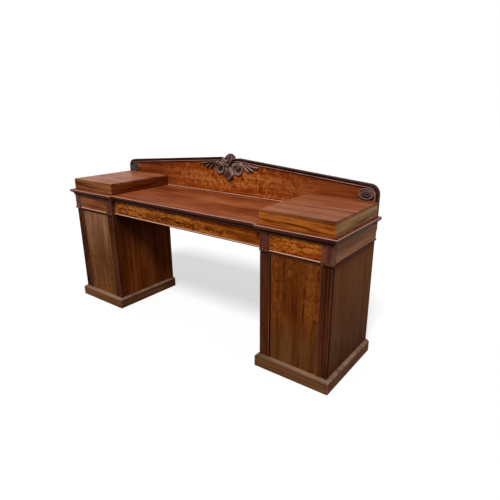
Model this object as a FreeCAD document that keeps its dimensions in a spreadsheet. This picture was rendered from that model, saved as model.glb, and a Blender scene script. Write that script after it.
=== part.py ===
import FreeCAD, Part
import math
import operator
import os
import Sketcher

# Twin-pedestal mahogany sideboard with an inverted breakfront top, frieze drawers and a carved
# pediment gallery. Millimetres, +Z up, +Y towards the wall, origin on the floor under the middle.

DRIVING_SIZES = {
    # Pedestals and the kneehole between them
    "kneehole_width": 1310,
    "pedestal_width": 440,
    "pedestal_height": 655,
    "case_depth": 540,
    "side_thickness": 20,
    "back_thickness": 12,
    "board_thickness": 18,
    "shelf_level": 330,
    "shelf_setback": 30,
    "cleat_width": 18,
    # Plinth skirting
    "plinth_height": 75,
    "plinth_projection": 22,
    "plinth_bevel_width": 13,
    "plinth_bevel_height": 10,
    # Reeded pilasters
    "pilaster_width": 64,
    "pilaster_depth": 26,
    "pilaster_fillet": 5,
    "quirk_width": 2,
    "bead_width": 7,
    "field_depth": 3,
    "groove_width": 3,
    "groove_depth": 2,
    "groove_spacing": 16,
    "cap_height": 15,
    "cap_bead": 6,
    # Doors on pin pivots
    "door_thickness": 20,
    "door_gap": 1,
    "door_end_gap": 2,
    "head_rail_height": 16,
    "pivot_plate_length": 44,
    "pivot_plate_width": 14,
    "pivot_plate_thickness": 2.5,
    "pivot_plate_heel": 6,
    "pivot_socket_length": 22,
    "pivot_pin_radius": 3,
    "pivot_clearance": 0.05,
    "pivot_pin_reach": 8,
    "pivot_hole_radius": 4,
    # Door locks
    "lock_case_width": 46,
    "lock_case_height": 64,
    "lock_case_depth": 12,
    "bolt_length": 32,
    "bolt_height": 20,
    "bolt_depth": 6,
    "bolt_clearance": 0.3,
    "bolt_throw": 8,
    "keyhole_backset": 28,
    "keyhole_width": 3,
    "keyhole_height": 9,
    # Frieze
    "frieze_height": 104,
    "frieze_overhang": 5,
    "frieze_end_thickness": 20,
    "frieze_back_thickness": 18,
    "dust_board_thickness": 15,
    "divider_thickness": 20,
    "block_width": 48,
    "neck_height": 12,
    "neck_step": 6,
    "end_bead_height": 10,
    "guide_height": 22,
    "centre_setback": 25,
    # Drawers
    "drawer_front_thickness": 22,
    "drawer_gap": 1,
    "drawer_foot_gap": 2,
    "drawer_head_gap": 2,
    "runner_gap": 0.5,
    "lining_thickness": 10,
    "lining_drop": 8,
    "drawer_bottom_thickness": 7,
    "drawer_bottom_lift": 6,
    "lip_height": 10,
    "lip_projection": 9,
    "stop_width": 30,
    "stop_height": 25,
    "stop_depth": 52,
    "stop_gap": 0.3,
    # Top and its cavetto moulding
    "moulding_height": 25,
    "moulding_projection": 21,
    "moulding_fillet": 3,
    "cavetto_radius": 24,
    "top_thickness": 16,
    "top_projection": 30,
    "top_edge_radius": 5,
    # Raised boxes on the top
    "box_overhang": 10,
    "box_height": 80,
    "box_setback": 4,
    "box_wall": 18,
    "box_lid": 14,
    # Gallery board and rails
    "gallery_thickness": 22,
    "gallery_tail": 90,
    "gallery_slope": 4.7,
    "gallery_end_rise": 39,
    "gallery_end_radius": 60,
    "rail_height": 24,
    "rail_cushion": 14,
    "rail_projection": 8,
    "rail_cushion_rise": 4,
    "rail_quirk": 2,
    "screw_radius": 2.5,
    "screw_head_radius": 5,
    "screw_head_depth": 3,
    "screw_length": 34,
    "screw_clearance": 0.2,
    "screw_spacing": 800,
    # Carving on the gallery
    "roundel_width": 98,
    "roundel_height": 68,
    "roundel_gap": 1,
    "roundel_bead": 5,
    "roundel_relief": 11,
    "roundel_ring": 9,
    "roundel_button": 8,
    "scroll_offset": 82,
    "scroll_radius": 46,
    "scroll_gap": 1,
    "scroll_relief": 8,
    "scroll_ring": 10,
    "scroll_eye": 22,
    "scroll_eye_lift": 8,
    "scroll_eye_relief": 19,
    "scroll_wrap": 32,
    "palmette_relief": 9,
    "bud_radius": 42,
    "bud_rim": 4,
    "bud_lift": 57,
    "bud_relief": 44,
    "waist_half_width": 33,
    "waist_drop": 57,
    "shoulder_half_width": 36,
    "shoulder_drop": 97,
    "tip_drop": 152,
    "leaf_half_width": 22,
    "leaf_length": 74,
    "leaf_relief": 12,
    "leaf_ridge": 3,
    "leaf_edge": 2,
    "frond_width": 24,
    "frond_root_width": 8,
    "frond_relief": 12,
    "frond_root_gap": 4,
    "frond_root_lift": 14,
    "frond_spacing": 14.5,
    "upper_frond_length": 130,
    "upper_frond_dip": 4,
    "middle_frond_length": 90,
    "middle_frond_dip": 14,
    "lower_frond_length": 57,
    "lower_frond_dip": 34,
}

doc = FreeCAD.newDocument("pedestal_sideboard")
sheet = doc.addObject("Spreadsheet::Sheet", "Sizes")
for row, (alias, value) in enumerate(DRIVING_SIZES.items(), start=1):
    sheet.set(f"A{row}", alias.replace("_", " "))
    sheet.set(f"B{row}", str(value))
    sheet.setAlias(f"B{row}", alias)
doc.recompute()

OPERATIONS = {"+": operator.add, "-": operator.sub, "*": operator.mul, "/": operator.truediv}


class Size:
    """A length that carries its number beside the spreadsheet expression that gives it."""

    def __init__(self, number, text):
        self.number = number
        self.text = text

    def __add__(self, other):
        return combine(self, "+", other)

    def __radd__(self, other):
        return combine(other, "+", self)

    def __sub__(self, other):
        return combine(self, "-", other)

    def __rsub__(self, other):
        return combine(other, "-", self)

    def __mul__(self, other):
        return combine(self, "*", other)

    def __rmul__(self, other):
        return combine(other, "*", self)

    def __truediv__(self, other):
        return combine(self, "/", other)

    def __neg__(self):
        return combine(-1, "*", self)


def as_size(value):
    if isinstance(value, Size):
        return value
    return Size(float(value), f"({float(value)})")


def combine(left, sign, right):
    left = as_size(left)
    right = as_size(right)
    number = OPERATIONS[sign](left.number, right.number)
    return Size(number, f"({left.text} {sign} {right.text})")


def sine(angle):
    return Size(math.sin(math.radians(angle.number)), f"sin({angle.text})")


def cosine(angle):
    return Size(math.cos(math.radians(angle.number)), f"cos({angle.text})")


class Dimensions:
    """Gives each driving dimension by its alias in the sheet."""

    def __getattr__(self, alias):
        return Size(float(sheet.get(alias)), f"Sizes.{alias}")


dim = Dimensions()
nodes = []


def bind(item, path, value):
    item.setExpression(path, as_size(value).text)


def place(item, x, y, z, rotation=FreeCAD.Rotation()):
    item.Placement = FreeCAD.Placement(FreeCAD.Vector(0, 0, 0), rotation)
    bind(item, "Placement.Base.x", x)
    bind(item, "Placement.Base.y", y)
    bind(item, "Placement.Base.z", z)


def node(label, item):
    item.Label = label
    nodes.append(item)
    return item


def board(name, x, y, z):
    """A plain board between two planes each way."""
    item = doc.addObject("Part::Box", name)
    bind(item, "Length", x[1] - x[0])
    bind(item, "Width", y[1] - y[0])
    bind(item, "Height", z[1] - z[0])
    place(item, x[0], y[0], z[0])
    return item


UPRIGHT = FreeCAD.Rotation()
TO_FRONT = FreeCAD.Rotation(FreeCAD.Vector(1, 0, 0), 90)
DOWNWARD = FreeCAD.Rotation(FreeCAD.Vector(0, 1, 0), 90)


def rod(name, radius, length, start, rotation=UPRIGHT):
    """A round rod from its start point, upright or reaching to the front."""
    item = doc.addObject("Part::Cylinder", name)
    bind(item, "Radius", radius)
    bind(item, "Height", length)
    place(item, *start, rotation)
    return item


def group(name, members):
    item = doc.addObject("Part::Compound", name)
    item.Links = members
    return item


def cut(name, base, tools):
    item = doc.addObject("Part::Cut", name)
    item.Base = base
    item.Tool = tools[0] if len(tools) == 1 else group(name + "_tools", tools)
    return item


def fuse(name, members):
    item = doc.addObject("Part::MultiFuse", name)
    item.Shapes = members
    return item


def span(sign, low, high):
    """The same stretch of x on the right of the middle, or mirrored to the left."""
    if sign > 0:
        return low, high
    return -high, -low


def plane_of(body, role):
    for feature in body.Origin.OriginFeatures:
        if feature.Role == role:
            return feature
    raise ValueError(role)


def arc_centre(first, last, radius, turn):
    """The centre of an arc that bulges to the left of the way for turn 1 and to the right for -1."""
    chord = last - first
    reach = math.sqrt(radius ** 2 - (chord.Length / 2) ** 2)
    left = FreeCAD.Vector(-chord.y, chord.x, 0).normalize()
    return (first + last) / 2 - left * reach * turn


def half_round(start, end, radius, turn):
    """The first two corners of a half round: quarter arcs that swell from the line between two points."""
    middle_u = (start[0] + end[0]) / 2 - turn * (end[1] - start[1]) / 2
    middle_v = (start[1] + end[1]) / 2 + turn * (end[0] - start[0]) / 2
    return [(start[0], start[1], radius, turn), (middle_u, middle_v, radius, turn)]


def draw(sketch, corners, closed=True):
    """Draws a chain of lines and arcs whose corners and radii are bound to the sheet.

    A corner is (u, v), or (u, v, radius, turn) where an arc leads on to the next one.
    """
    corners = [tuple(as_size(value) for value in corner[:3]) + tuple(corner[3:]) for corner in corners]
    points = [FreeCAD.Vector(corner[0].number, corner[1].number, 0) for corner in corners]
    count = len(corners) if closed else len(corners) - 1
    ends = []
    for index in range(count):
        first = points[index]
        last = points[(index + 1) % len(points)]
        if len(corners[index]) == 2:
            sketch.addGeometry(Part.LineSegment(first, last), False)
            ends.append((1, 2))
            continue
        radius, turn = corners[index][2].number, corners[index][3]
        centre = arc_centre(first, last, radius, turn)
        angles = [math.atan2(point.y - centre.y, point.x - centre.x) for point in (first, last)]
        circle = Part.Circle(centre, FreeCAD.Vector(0, 0, 1), radius)
        order = (0, 1) if turn < 0 else (1, 0)
        sketch.addGeometry(Part.ArcOfCircle(circle, angles[order[0]], angles[order[1]]), False)
        ends.append((1, 2) if turn < 0 else (2, 1))
    for index in range(count if closed else count - 1):
        following = (index + 1) % count
        joint = Sketcher.Constraint("Coincident", index, ends[index][1], following, ends[following][0])
        sketch.addConstraint(joint)
    for index, corner in enumerate(corners):
        edge, point = (index, ends[index][0]) if index < count else (index - 1, ends[index - 1][1])
        for kind, value in (("DistanceX", corner[0]), ("DistanceY", corner[1])):
            corner_place = Sketcher.Constraint(kind, -1, 1, edge, point, value.number)
            bind(sketch, f"Constraints[{sketch.addConstraint(corner_place)}]", value)
        if len(corner) > 2:
            arc_round = Sketcher.Constraint("Radius", index, corner[2].number)
            bind(sketch, f"Constraints[{sketch.addConstraint(arc_round)}]", corner[2])


def sketch_in(body, role, offset, corners, closed=True):
    sketch = body.newObject("Sketcher::SketchObject", body.Name + "_sketch")
    sketch.AttachmentSupport = [(plane_of(body, role), "")]
    sketch.MapMode = "FlatFace"
    bind(sketch, "AttachmentOffset.Base.z", offset)
    draw(sketch, corners, closed)
    return sketch


def pad(body, role, stretch, corners):
    """Pads an outline along its plane's axis: z for XY, x for YZ and y for XZ."""
    offset = -stretch[1] if role == "XZ_Plane" else stretch[0]
    feature = body.newObject("PartDesign::Pad", body.Name + "_pad")
    feature.Profile = sketch_in(body, role, offset, corners)
    bind(feature, "Length", stretch[1] - stretch[0])
    return feature


def padded(name, role, stretch, corners):
    body = doc.addObject("PartDesign::Body", name)
    pad(body, role, stretch, corners)
    return body


def revolved(name, corners):
    """A turned piece: the outline (radius, height) spun round the upright axis of its own body."""
    body = doc.addObject("PartDesign::Body", name)
    feature = body.newObject("PartDesign::Revolution", name + "_turn")
    feature.Profile = sketch_in(body, "XZ_Plane", as_size(0), corners)
    feature.ReferenceAxis = (feature.Profile[0], ["V_Axis"])
    feature.Angle = 360
    return body


def common(name, first, second):
    item = doc.addObject("Part::Common", name)
    item.Base = first
    item.Tool = second
    return item


# How far from level an edge may lie and still count as level
LEVEL = 0.001

# Planes that the pieces share
inner_face = dim.kneehole_width / 2
outer_face = inner_face + dim.pedestal_width
front = dim.top_projection - (dim.top_projection + dim.case_depth + dim.gallery_thickness) / 2
back = front + dim.case_depth
post_back = front + dim.pilaster_depth
floor = as_size(0)
plinth_top = dim.plinth_height
frieze_foot = plinth_top + dim.pedestal_height
frieze_top = frieze_foot + dim.frieze_height
moulding_top = frieze_top + dim.moulding_height
serving_top = moulding_top + dim.top_thickness
box_top = serving_top + dim.box_height
frieze_end = outer_face + dim.frieze_overhang
frieze_face = front - dim.frieze_overhang
end_inside = frieze_end - dim.frieze_end_thickness
dust_top = frieze_foot + dim.dust_board_thickness
centre_face = front + dim.centre_setback
centre_frieze_face = centre_face - dim.frieze_overhang
frieze_inside_back = back - dim.frieze_back_thickness
door_low = inner_face + dim.pilaster_width + dim.door_gap
door_high = outer_face - dim.pilaster_width - dim.door_gap
door_foot = plinth_top + dim.door_end_gap
head_rail_foot = frieze_foot - dim.head_rail_height
door_head = head_rail_foot - dim.door_end_gap
door_face = post_back - dim.door_thickness
pivot_x = door_low + dim.door_thickness / 2
pivot_y = door_face + dim.door_thickness / 2
lock_z = (door_foot + door_head) / 2
SIDES = (("left", -1), ("right", 1))


def mirrored(sign, corners):
    """Corners whose first value is x, on the right of the middle or mirrored to the left."""
    flipped = []
    for corner in corners:
        arc = (corner[2], sign * corner[3]) if len(corner) > 2 else ()
        flipped.append((sign * corner[0], corner[1]) + arc)
    return flipped


def mitred(name, role, stretch, section, height, plan):
    """A moulded length whose section and mitred plan are padded and then crossed."""
    length = padded(name + "_length", role, stretch, section)
    ends = padded(name + "_mitres", "XY_Plane", height, plan)
    return common(name, length, ends)


def plinth(side, sign):
    """Skirting boards planted round the pedestal's foot, mitred at the front corners."""
    reach = dim.plinth_projection
    face = front - reach
    low_bevel = plinth_top - dim.plinth_bevel_height
    bevel = dim.plinth_bevel_width

    def section(inside, outward):
        outside = inside + outward * reach
        return [
            (inside, floor),
            (outside, floor),
            (outside, low_bevel),
            (outside - outward * bevel, plinth_top),
            (inside, plinth_top),
        ]

    height = (floor, plinth_top)
    front_plan = [
        (inner_face - reach, face),
        (outer_face + reach, face),
        (outer_face, front),
        (inner_face, front),
    ]
    front_length = span(sign, inner_face - reach, outer_face + reach)
    front_board = mitred(
        f"{side}_plinth_front", "YZ_Plane", front_length, section(front, -1), height,
        mirrored(sign, front_plan),
    )
    members = [front_board]
    for place_name, plane, outward in (("inner", inner_face, -1), ("outer", outer_face, 1)):
        side_plan = [
            (plane, front),
            (plane, back),
            (plane + outward * reach, back),
            (plane + outward * reach, face),
        ]
        members.append(mitred(
            f"{side}_plinth_{place_name}", "XZ_Plane", (face, back),
            mirrored(sign, section(plane, outward)), height, mirrored(sign, side_plan),
        ))
    node(f"{side}_plinth", group(f"{side}_plinth", members))


def pilaster(name, low):
    """A stile with two beads, a sunk field with two fine grooves, and a beaded cap."""
    body = doc.addObject("PartDesign::Body", name)
    high = low + dim.pilaster_width
    middle = low + dim.pilaster_width / 2
    sunk = front + dim.field_depth
    deep = sunk + dim.groove_depth
    bead_start = dim.pilaster_fillet + dim.quirk_width
    bead_end = bead_start + dim.bead_width
    bead = dim.bead_width / 2
    groove_near = dim.groove_spacing / 2 - dim.groove_width / 2
    groove_far = dim.groove_spacing / 2 + dim.groove_width / 2
    section = [
        (low, post_back),
        (low, front),
        (low + dim.pilaster_fillet, front),
        (low + dim.pilaster_fillet, sunk),
        *half_round((low + bead_start, sunk), (low + bead_end, sunk), bead, -1),
        (low + bead_end, sunk),
        (middle - groove_far, sunk),
        (middle - groove_far, deep),
        (middle - groove_near, deep),
        (middle - groove_near, sunk),
        (middle + groove_near, sunk),
        (middle + groove_near, deep),
        (middle + groove_far, deep),
        (middle + groove_far, sunk),
        *half_round((high - bead_end, sunk), (high - bead_start, sunk), bead, -1),
        (high - bead_start, sunk),
        (high - dim.pilaster_fillet, sunk),
        (high - dim.pilaster_fillet, front),
        (high, front),
        (high, post_back),
    ]
    cap_foot = frieze_foot - dim.cap_height
    pad(body, "XY_Plane", (plinth_top, cap_foot), section)
    cap = [
        (post_back, cap_foot),
        (post_back, frieze_foot),
        (front, frieze_foot),
        (front, cap_foot + dim.cap_bead + dim.quirk_width),
        (sunk, cap_foot + dim.cap_bead + dim.quirk_width),
        (sunk, cap_foot + dim.cap_bead),
        (front, cap_foot + dim.cap_bead),
        (front, cap_foot),
    ]
    pad(body, "YZ_Plane", (low, high), cap)
    return body


def bolt_space(sign, edge, reach, slack):
    """The bolt's own box, grown by a slack, from a plane at the lock's edge."""
    middle = post_back - dim.lock_case_depth / 2
    half_depth = dim.bolt_depth / 2 + slack
    half_height = dim.bolt_height / 2 + slack
    return (
        span(sign, edge + reach[0], edge + reach[1]),
        (middle - half_depth, middle + half_depth),
        (lock_z - half_height, lock_z + half_height),
    )


def pivot_box(sign, heel, toe, z):
    half = dim.pivot_plate_width / 2
    return span(sign, pivot_x - heel, pivot_x + toe), (pivot_y - half, pivot_y + half), z


def pedestal(side, sign):
    """The fixed carcass boards of one pedestal; returns those that share a node with the other's."""
    inside = inner_face + dim.side_thickness
    outside = outer_face - dim.side_thickness
    within = span(sign, inside, outside)
    case_y = (post_back, back)
    for name, low in (("inner", inner_face), ("outer", outside)):
        label = f"{side}_pedestal_{name}_side"
        node(label, board(label, span(sign, low, low + dim.side_thickness), case_y, (floor, frieze_foot)))

    lining_y = (post_back, back - dim.back_thickness)
    bottom_foot = plinth_top - dim.board_thickness
    shelf_top = plinth_top + dim.shelf_level
    shelf_foot = shelf_top - dim.board_thickness
    shelf_y = (post_back + dim.shelf_setback, back - dim.back_thickness)
    cleat_z = (shelf_foot - dim.cleat_width, shelf_foot)
    plain = {
        "back": [board(f"{side}_back", within, (lining_y[1], back), (bottom_foot, frieze_foot))],
        "bottom": [board(f"{side}_bottom", within, lining_y, (bottom_foot, plinth_top))],
        "top": [board(f"{side}_top", within, lining_y, (frieze_foot - dim.board_thickness, frieze_foot))],
        "shelf": [board(f"{side}_shelf", within, shelf_y, (shelf_foot, shelf_top))],
        "cleat": [
            board(f"{side}_cleat_inner", span(sign, inside, inside + dim.cleat_width), shelf_y, cleat_z),
            board(f"{side}_cleat_outer", span(sign, outside - dim.cleat_width, outside), shelf_y, cleat_z),
        ],
    }

    low_socket_z = (plinth_top - dim.pivot_plate_thickness, plinth_top)
    high_socket_z = (head_rail_foot, head_rail_foot + dim.pivot_plate_thickness)
    half_length = dim.pivot_socket_length / 2
    pin_spots = (
        ("low", low_socket_z, plinth_top - dim.pivot_pin_reach),
        ("high", high_socket_z, head_rail_foot),
    )
    recesses = {}
    sockets = []
    for level, socket_z, hole_foot in pin_spots:
        name = f"{side}_{level}_socket"
        space = pivot_box(sign, half_length, half_length, socket_z)
        hole_start = (sign * pivot_x, pivot_y, hole_foot)
        recesses[level] = [
            board(name + "_recess", *space),
            rod(name + "_hole", dim.pivot_hole_radius, dim.pivot_pin_reach, hole_start),
        ]
        bore_radius = dim.pivot_pin_radius + dim.pivot_clearance
        bore = rod(name + "_bore", bore_radius, dim.pivot_pin_reach, hole_start)
        sockets.append(cut(name, board(name + "_plate", *space), [bore]))
    rail = board(
        f"{side}_plinth_rail_blank", span(sign, inner_face, outer_face), (front, post_back), (floor, plinth_top),
    )
    plain["plinth_rail"] = [cut(f"{side}_plinth_rail", rail, recesses["low"])]
    opening = span(sign, inner_face + dim.pilaster_width, outer_face - dim.pilaster_width)
    head = board(f"{side}_head_rail_blank", opening, (door_face, post_back), (head_rail_foot, frieze_foot))
    plain["head_rail"] = [cut(f"{side}_head_rail", head, recesses["high"])]
    plain["socket"] = sockets

    strike_edge = door_high + dim.door_gap
    mortise_reach = (as_size(0), dim.bolt_throw)
    mortise = board(f"{side}_strike", *bolt_space(sign, strike_edge, mortise_reach, 2 * dim.bolt_clearance))
    outer_low = span(sign, outer_face - dim.pilaster_width, outer_face)[0]
    outer_pilaster = cut(f"{side}_outer_pilaster", pilaster(f"{side}_outer_stile", outer_low), [mortise])
    inner_low = span(sign, inner_face, inner_face + dim.pilaster_width)[0]
    inner_pilaster = pilaster(f"{side}_inner_stile", inner_low)
    label = f"{side}_pilasters"
    node(label, group(label, [inner_pilaster, outer_pilaster]))
    return plain


def door(side, sign):
    """A flush door with a rounded hinge edge, its pivots, lock and bolt."""
    half = dim.door_thickness / 2
    outline = [
        *half_round((pivot_x, door_face), (pivot_x, post_back), half, 1),
        (pivot_x, post_back),
        (door_high, post_back),
        (door_high, door_face),
    ]
    slab = padded(f"{side}_door_slab", "XY_Plane", (door_foot, door_head), mirrored(sign, outline))

    thickness = dim.pivot_plate_thickness
    reach = dim.pivot_pin_reach
    toe = dim.pivot_plate_length - dim.pivot_plate_heel
    pin_length = thickness + reach
    plates = (
        ("low", (door_foot, door_foot + thickness), door_foot - reach),
        ("high", (door_head - thickness, door_head), door_head - thickness),
    )
    recesses = []
    pivots = []
    for level, plate_z, pin_foot in plates:
        name = f"{side}_{level}_pivot"
        space = pivot_box(sign, dim.pivot_plate_heel, toe, plate_z)
        recesses.append(board(name + "_recess", *space))
        pin = rod(name + "_pin", dim.pivot_pin_radius, pin_length, (sign * pivot_x, pivot_y, pin_foot))
        pivots.append(fuse(name, [board(name + "_plate", *space), pin]))
    node(f"{side}_door_pivots", group(f"{side}_door_pivots", pivots))

    case_space = (
        span(sign, door_high - dim.lock_case_width, door_high),
        (post_back - dim.lock_case_depth, post_back),
        (lock_z - dim.lock_case_height / 2, lock_z + dim.lock_case_height / 2),
    )
    recesses.append(board(f"{side}_lock_recess", *case_space))
    bolt_way = (-dim.bolt_length - dim.bolt_clearance, as_size(0))
    slot = board(f"{side}_bolt_slot", *bolt_space(sign, door_high, bolt_way, dim.bolt_clearance))
    case = board(f"{side}_lock_blank", *case_space)
    node(f"{side}_lock_case", cut(f"{side}_lock_case", case, [slot]))
    bolt_place = bolt_space(sign, door_high, (-dim.bolt_length, as_size(0)), as_size(0))
    node(f"{side}_lock_bolt", board(f"{side}_lock_bolt", *bolt_place))

    key_middle = door_high - dim.keyhole_backset
    recesses.append(board(
        f"{side}_keyhole",
        span(sign, key_middle - dim.keyhole_width / 2, key_middle + dim.keyhole_width / 2),
        (door_face, post_back - dim.lock_case_depth),
        (lock_z - dim.keyhole_height / 2, lock_z + dim.keyhole_height / 2),
    ))
    node(f"{side}_door", cut(f"{side}_door", slab, recesses))


def breakfront(half_width, side_front, centre_half_width, centre_front, rear):
    """An inverted breakfront plan: the middle stands back from the two ends."""
    right = [
        (centre_half_width, centre_front),
        (centre_half_width, side_front),
        (half_width, side_front),
        (half_width, rear),
    ]
    left = [(-x, y) for x, y in reversed(right)]
    return left + right


def frieze():
    """The long drawer case that stands across both pedestals."""
    dust_centre = centre_face + dim.drawer_front_thickness + dim.drawer_gap
    dust_plan = breakfront(end_inside, post_back, inner_face, dust_centre, frieze_inside_back)
    dust_board = padded("frieze_dust_board", "XY_Plane", (frieze_foot, dust_top), dust_plan)
    node("frieze_dust_board", dust_board)
    back_z = (frieze_foot, frieze_top)
    back_board = board("frieze_back_blank", (-end_inside, end_inside), (frieze_inside_back, back), back_z)
    node("frieze_back", cut("frieze_back", back_board, screw_shapes("frieze_screw_hole", dim.screw_clearance)))

    dividers = []
    posts = []
    blocks = []
    beads = []
    guides = []
    within_z = (dust_top, frieze_top)
    guide_z = (dust_top, dust_top + dim.guide_height)
    case_y = (post_back, frieze_inside_back)
    for side, sign in SIDES:
        end_label = f"{side}_frieze_end"
        end_x = span(sign, end_inside, frieze_end)
        node(end_label, board(end_label, end_x, (post_back, back), (frieze_foot, frieze_top)))
        divider_x = inner_face + dim.divider_thickness
        dividers.append(board(f"{side}_divider", span(sign, inner_face, divider_x), case_y, within_z))
        inner_edge = inner_face + dim.pilaster_width
        outer_edge = outer_face - dim.pilaster_width
        post_y = (front, post_back)
        posts.append(board(f"{side}_inner_post", span(sign, inner_face, inner_edge), post_y, back_z))
        posts.append(board(f"{side}_outer_post", span(sign, outer_edge, frieze_end), post_y, back_z))
        guides.append(board(f"{side}_inner_guide", span(sign, divider_x, inner_edge), case_y, guide_z))
        guides.append(board(f"{side}_outer_guide", span(sign, outer_edge, end_inside), case_y, guide_z))
        inner_block = (inner_face, inner_face + dim.block_width)
        outer_block = (frieze_end - dim.block_width, frieze_end)
        blocks.append(frieze_block(f"{side}_inner_block", sign, inner_block, (0, 1)))
        blocks.append(frieze_block(f"{side}_outer_block", sign, outer_block, (1, 1)))
        bead_half = dim.end_bead_height / 2
        bead_top = frieze_foot + dim.end_bead_height
        bead = [
            *half_round((frieze_end, frieze_foot), (frieze_end, bead_top), bead_half, -1),
            (frieze_end, bead_top),
        ]
        beads.append(padded(f"{side}_end_bead", "XZ_Plane", (front, back), mirrored(sign, bead)))
    node("frieze_dividers", group("frieze_dividers", dividers))
    node("frieze_posts", group("frieze_posts", posts))
    node("frieze_blocks", group("frieze_blocks", blocks))
    node("frieze_end_beads", group("frieze_end_beads", beads))
    node("drawer_guides", group("drawer_guides", guides))

    tops = []
    for side, sign in SIDES:
        top_x = span(sign, inner_face, frieze_end)
        tops.append(board(f"{side}_case_top", top_x, (frieze_face, back), (frieze_top, moulding_top)))
    centre_y = (centre_frieze_face, back)
    tops.append(board("centre_case_top", (-inner_face, inner_face), centre_y, (frieze_top, moulding_top)))
    node("case_tops", group("case_tops", tops))


def frieze_block(name, sign, x, returns):
    """A plain block planted on a frieze post, with a two-step neck that returns where it is free."""
    members = [board(name + "_shaft", span(sign, *x), (frieze_face, front), (frieze_foot, frieze_top))]
    for step, share in (("lower", 1), ("upper", 2)):
        reach = dim.neck_step / share
        neck_x = (x[0] - returns[0] * reach, x[1] + returns[1] * reach)
        neck_top = frieze_foot + dim.neck_height / 2 * share
        members.append(board(
            f"{name}_{step}_neck", span(sign, *neck_x), (frieze_face - reach, front), (frieze_foot, neck_top),
        ))
    return fuse(name, members)


def screw_shapes(name, slack):
    """Countersunk screws through the gallery board into the frieze back, or their holes."""
    gallery_back = back + dim.gallery_thickness
    height = (frieze_top + serving_top - dim.gallery_tail) / 2
    shapes = []
    for place_name, steps in (("left", -1), ("middle", 0), ("right", 1)):
        start = (steps * dim.screw_spacing, gallery_back, height)
        shank_radius = dim.screw_radius + slack
        shank = rod(f"{name}_{place_name}_shank", shank_radius, dim.screw_length + slack, start, TO_FRONT)
        head = doc.addObject("Part::Cone", f"{name}_{place_name}_head")
        bind(head, "Radius1", dim.screw_head_radius + slack)
        bind(head, "Radius2", shank_radius)
        bind(head, "Height", dim.screw_head_depth)
        place(head, *start, TO_FRONT)
        shapes.append(fuse(f"{name}_{place_name}", [shank, head]))
    return shapes


def drawer(name, x, face, tail):
    """A drawer: a front with a pulling lip along its foot, and a lined box behind it."""
    gap = dim.drawer_gap
    front_x = (x[0] + gap, x[1] - gap)
    lining_front = face + dim.drawer_front_thickness
    foot = frieze_foot + dim.drawer_foot_gap
    head = frieze_top - dim.drawer_head_gap
    label = f"{name}_drawer_front"
    node(label, board(label, front_x, (face, lining_front), (foot, head)))
    lip_top = foot + dim.lip_height
    lip_round = dim.lip_height / 2
    nose = face - dim.lip_projection + lip_round
    lip = [
        (face, foot),
        (face, lip_top),
        *half_round((nose, lip_top), (nose, foot), lip_round, -1),
        (nose, foot),
    ]
    label = f"{name}_drawer_lip"
    node(label, padded(label, "YZ_Plane", front_x, lip))

    wall = dim.lining_thickness
    box_foot = dust_top + dim.runner_gap
    box_head = head - dim.lining_drop
    low_x = (front_x[0], front_x[0] + wall)
    high_x = (front_x[1] - wall, front_x[1])
    between = (low_x[1], high_x[0])
    bottom_foot = box_foot + dim.drawer_bottom_lift
    bottom_z = (bottom_foot, bottom_foot + dim.drawer_bottom_thickness)
    label = f"{name}_drawer_linings"
    node(label, group(label, [
        board(label + "_left", low_x, (lining_front, tail), (box_foot, box_head)),
        board(label + "_right", high_x, (lining_front, tail), (box_foot, box_head)),
        board(label + "_back", between, (tail - wall, tail), (bottom_z[1], box_head)),
        board(label + "_bottom", between, (lining_front, tail), bottom_z),
    ]))
    stops = []
    stop_y = (tail + dim.stop_gap, frieze_inside_back)
    for end, low in (("left", low_x[1]), ("right", high_x[0] - dim.stop_width)):
        stop_x = (low, low + dim.stop_width)
        stops.append(board(f"{name}_stop_{end}", stop_x, stop_y, (dust_top, dust_top + dim.stop_height)))
    return stops


def drawers():
    low = inner_face + dim.pilaster_width
    high = outer_face - dim.pilaster_width
    tail = frieze_inside_back - dim.stop_depth - dim.stop_gap
    stops = []
    stops += drawer("left", span(-1, low, high), front, tail)
    stops += drawer("centre", (-inner_face, inner_face), centre_face, tail)
    stops += drawer("right", span(1, low, high), front, tail)
    node("drawer_stops", group("drawer_stops", stops))


def top_moulding():
    """Cavetto lengths planted under the top, mitred at every corner of the breakfront."""
    reach = dim.moulding_projection
    height = (frieze_top, moulding_top)

    def section(face, outward):
        fillet = face + outward * dim.moulding_fillet
        edge = face + outward * reach
        return [
            (face, frieze_top),
            (fillet, frieze_top, dim.cavetto_radius, outward),
            (edge, moulding_top - dim.moulding_fillet),
            (edge, moulding_top),
            (face, moulding_top),
        ]

    members = []
    outside = frieze_end + reach
    notch = inner_face - reach
    face = frieze_face - reach
    centre = centre_frieze_face - reach
    for side, sign in SIDES:
        end_plan = [(frieze_end, frieze_face), (frieze_end, back), (outside, back), (outside, face)]
        front_plan = [(inner_face, frieze_face), (frieze_end, frieze_face), (outside, face), (notch, face)]
        return_plan = [
            (inner_face, centre_frieze_face),
            (inner_face, frieze_face),
            (notch, face),
            (notch, centre),
        ]
        members.append(mitred(
            f"{side}_end_cavetto", "XZ_Plane", (face, back),
            mirrored(sign, section(frieze_end, 1)), height, mirrored(sign, end_plan),
        ))
        members.append(mitred(
            f"{side}_front_cavetto", "YZ_Plane", span(sign, notch, outside),
            section(frieze_face, -1), height, mirrored(sign, front_plan),
        ))
        members.append(mitred(
            f"{side}_return_cavetto", "XZ_Plane", (face, centre_frieze_face),
            mirrored(sign, section(inner_face, -1)), height, mirrored(sign, return_plan),
        ))
    centre_plan = [
        (-inner_face, centre_frieze_face),
        (inner_face, centre_frieze_face),
        (notch, centre),
        (-notch, centre),
    ]
    members.append(mitred(
        "centre_cavetto", "YZ_Plane", (-inner_face, inner_face),
        section(centre_frieze_face, -1), height, centre_plan,
    ))
    node("top_moulding", group("top_moulding", members))


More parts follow.
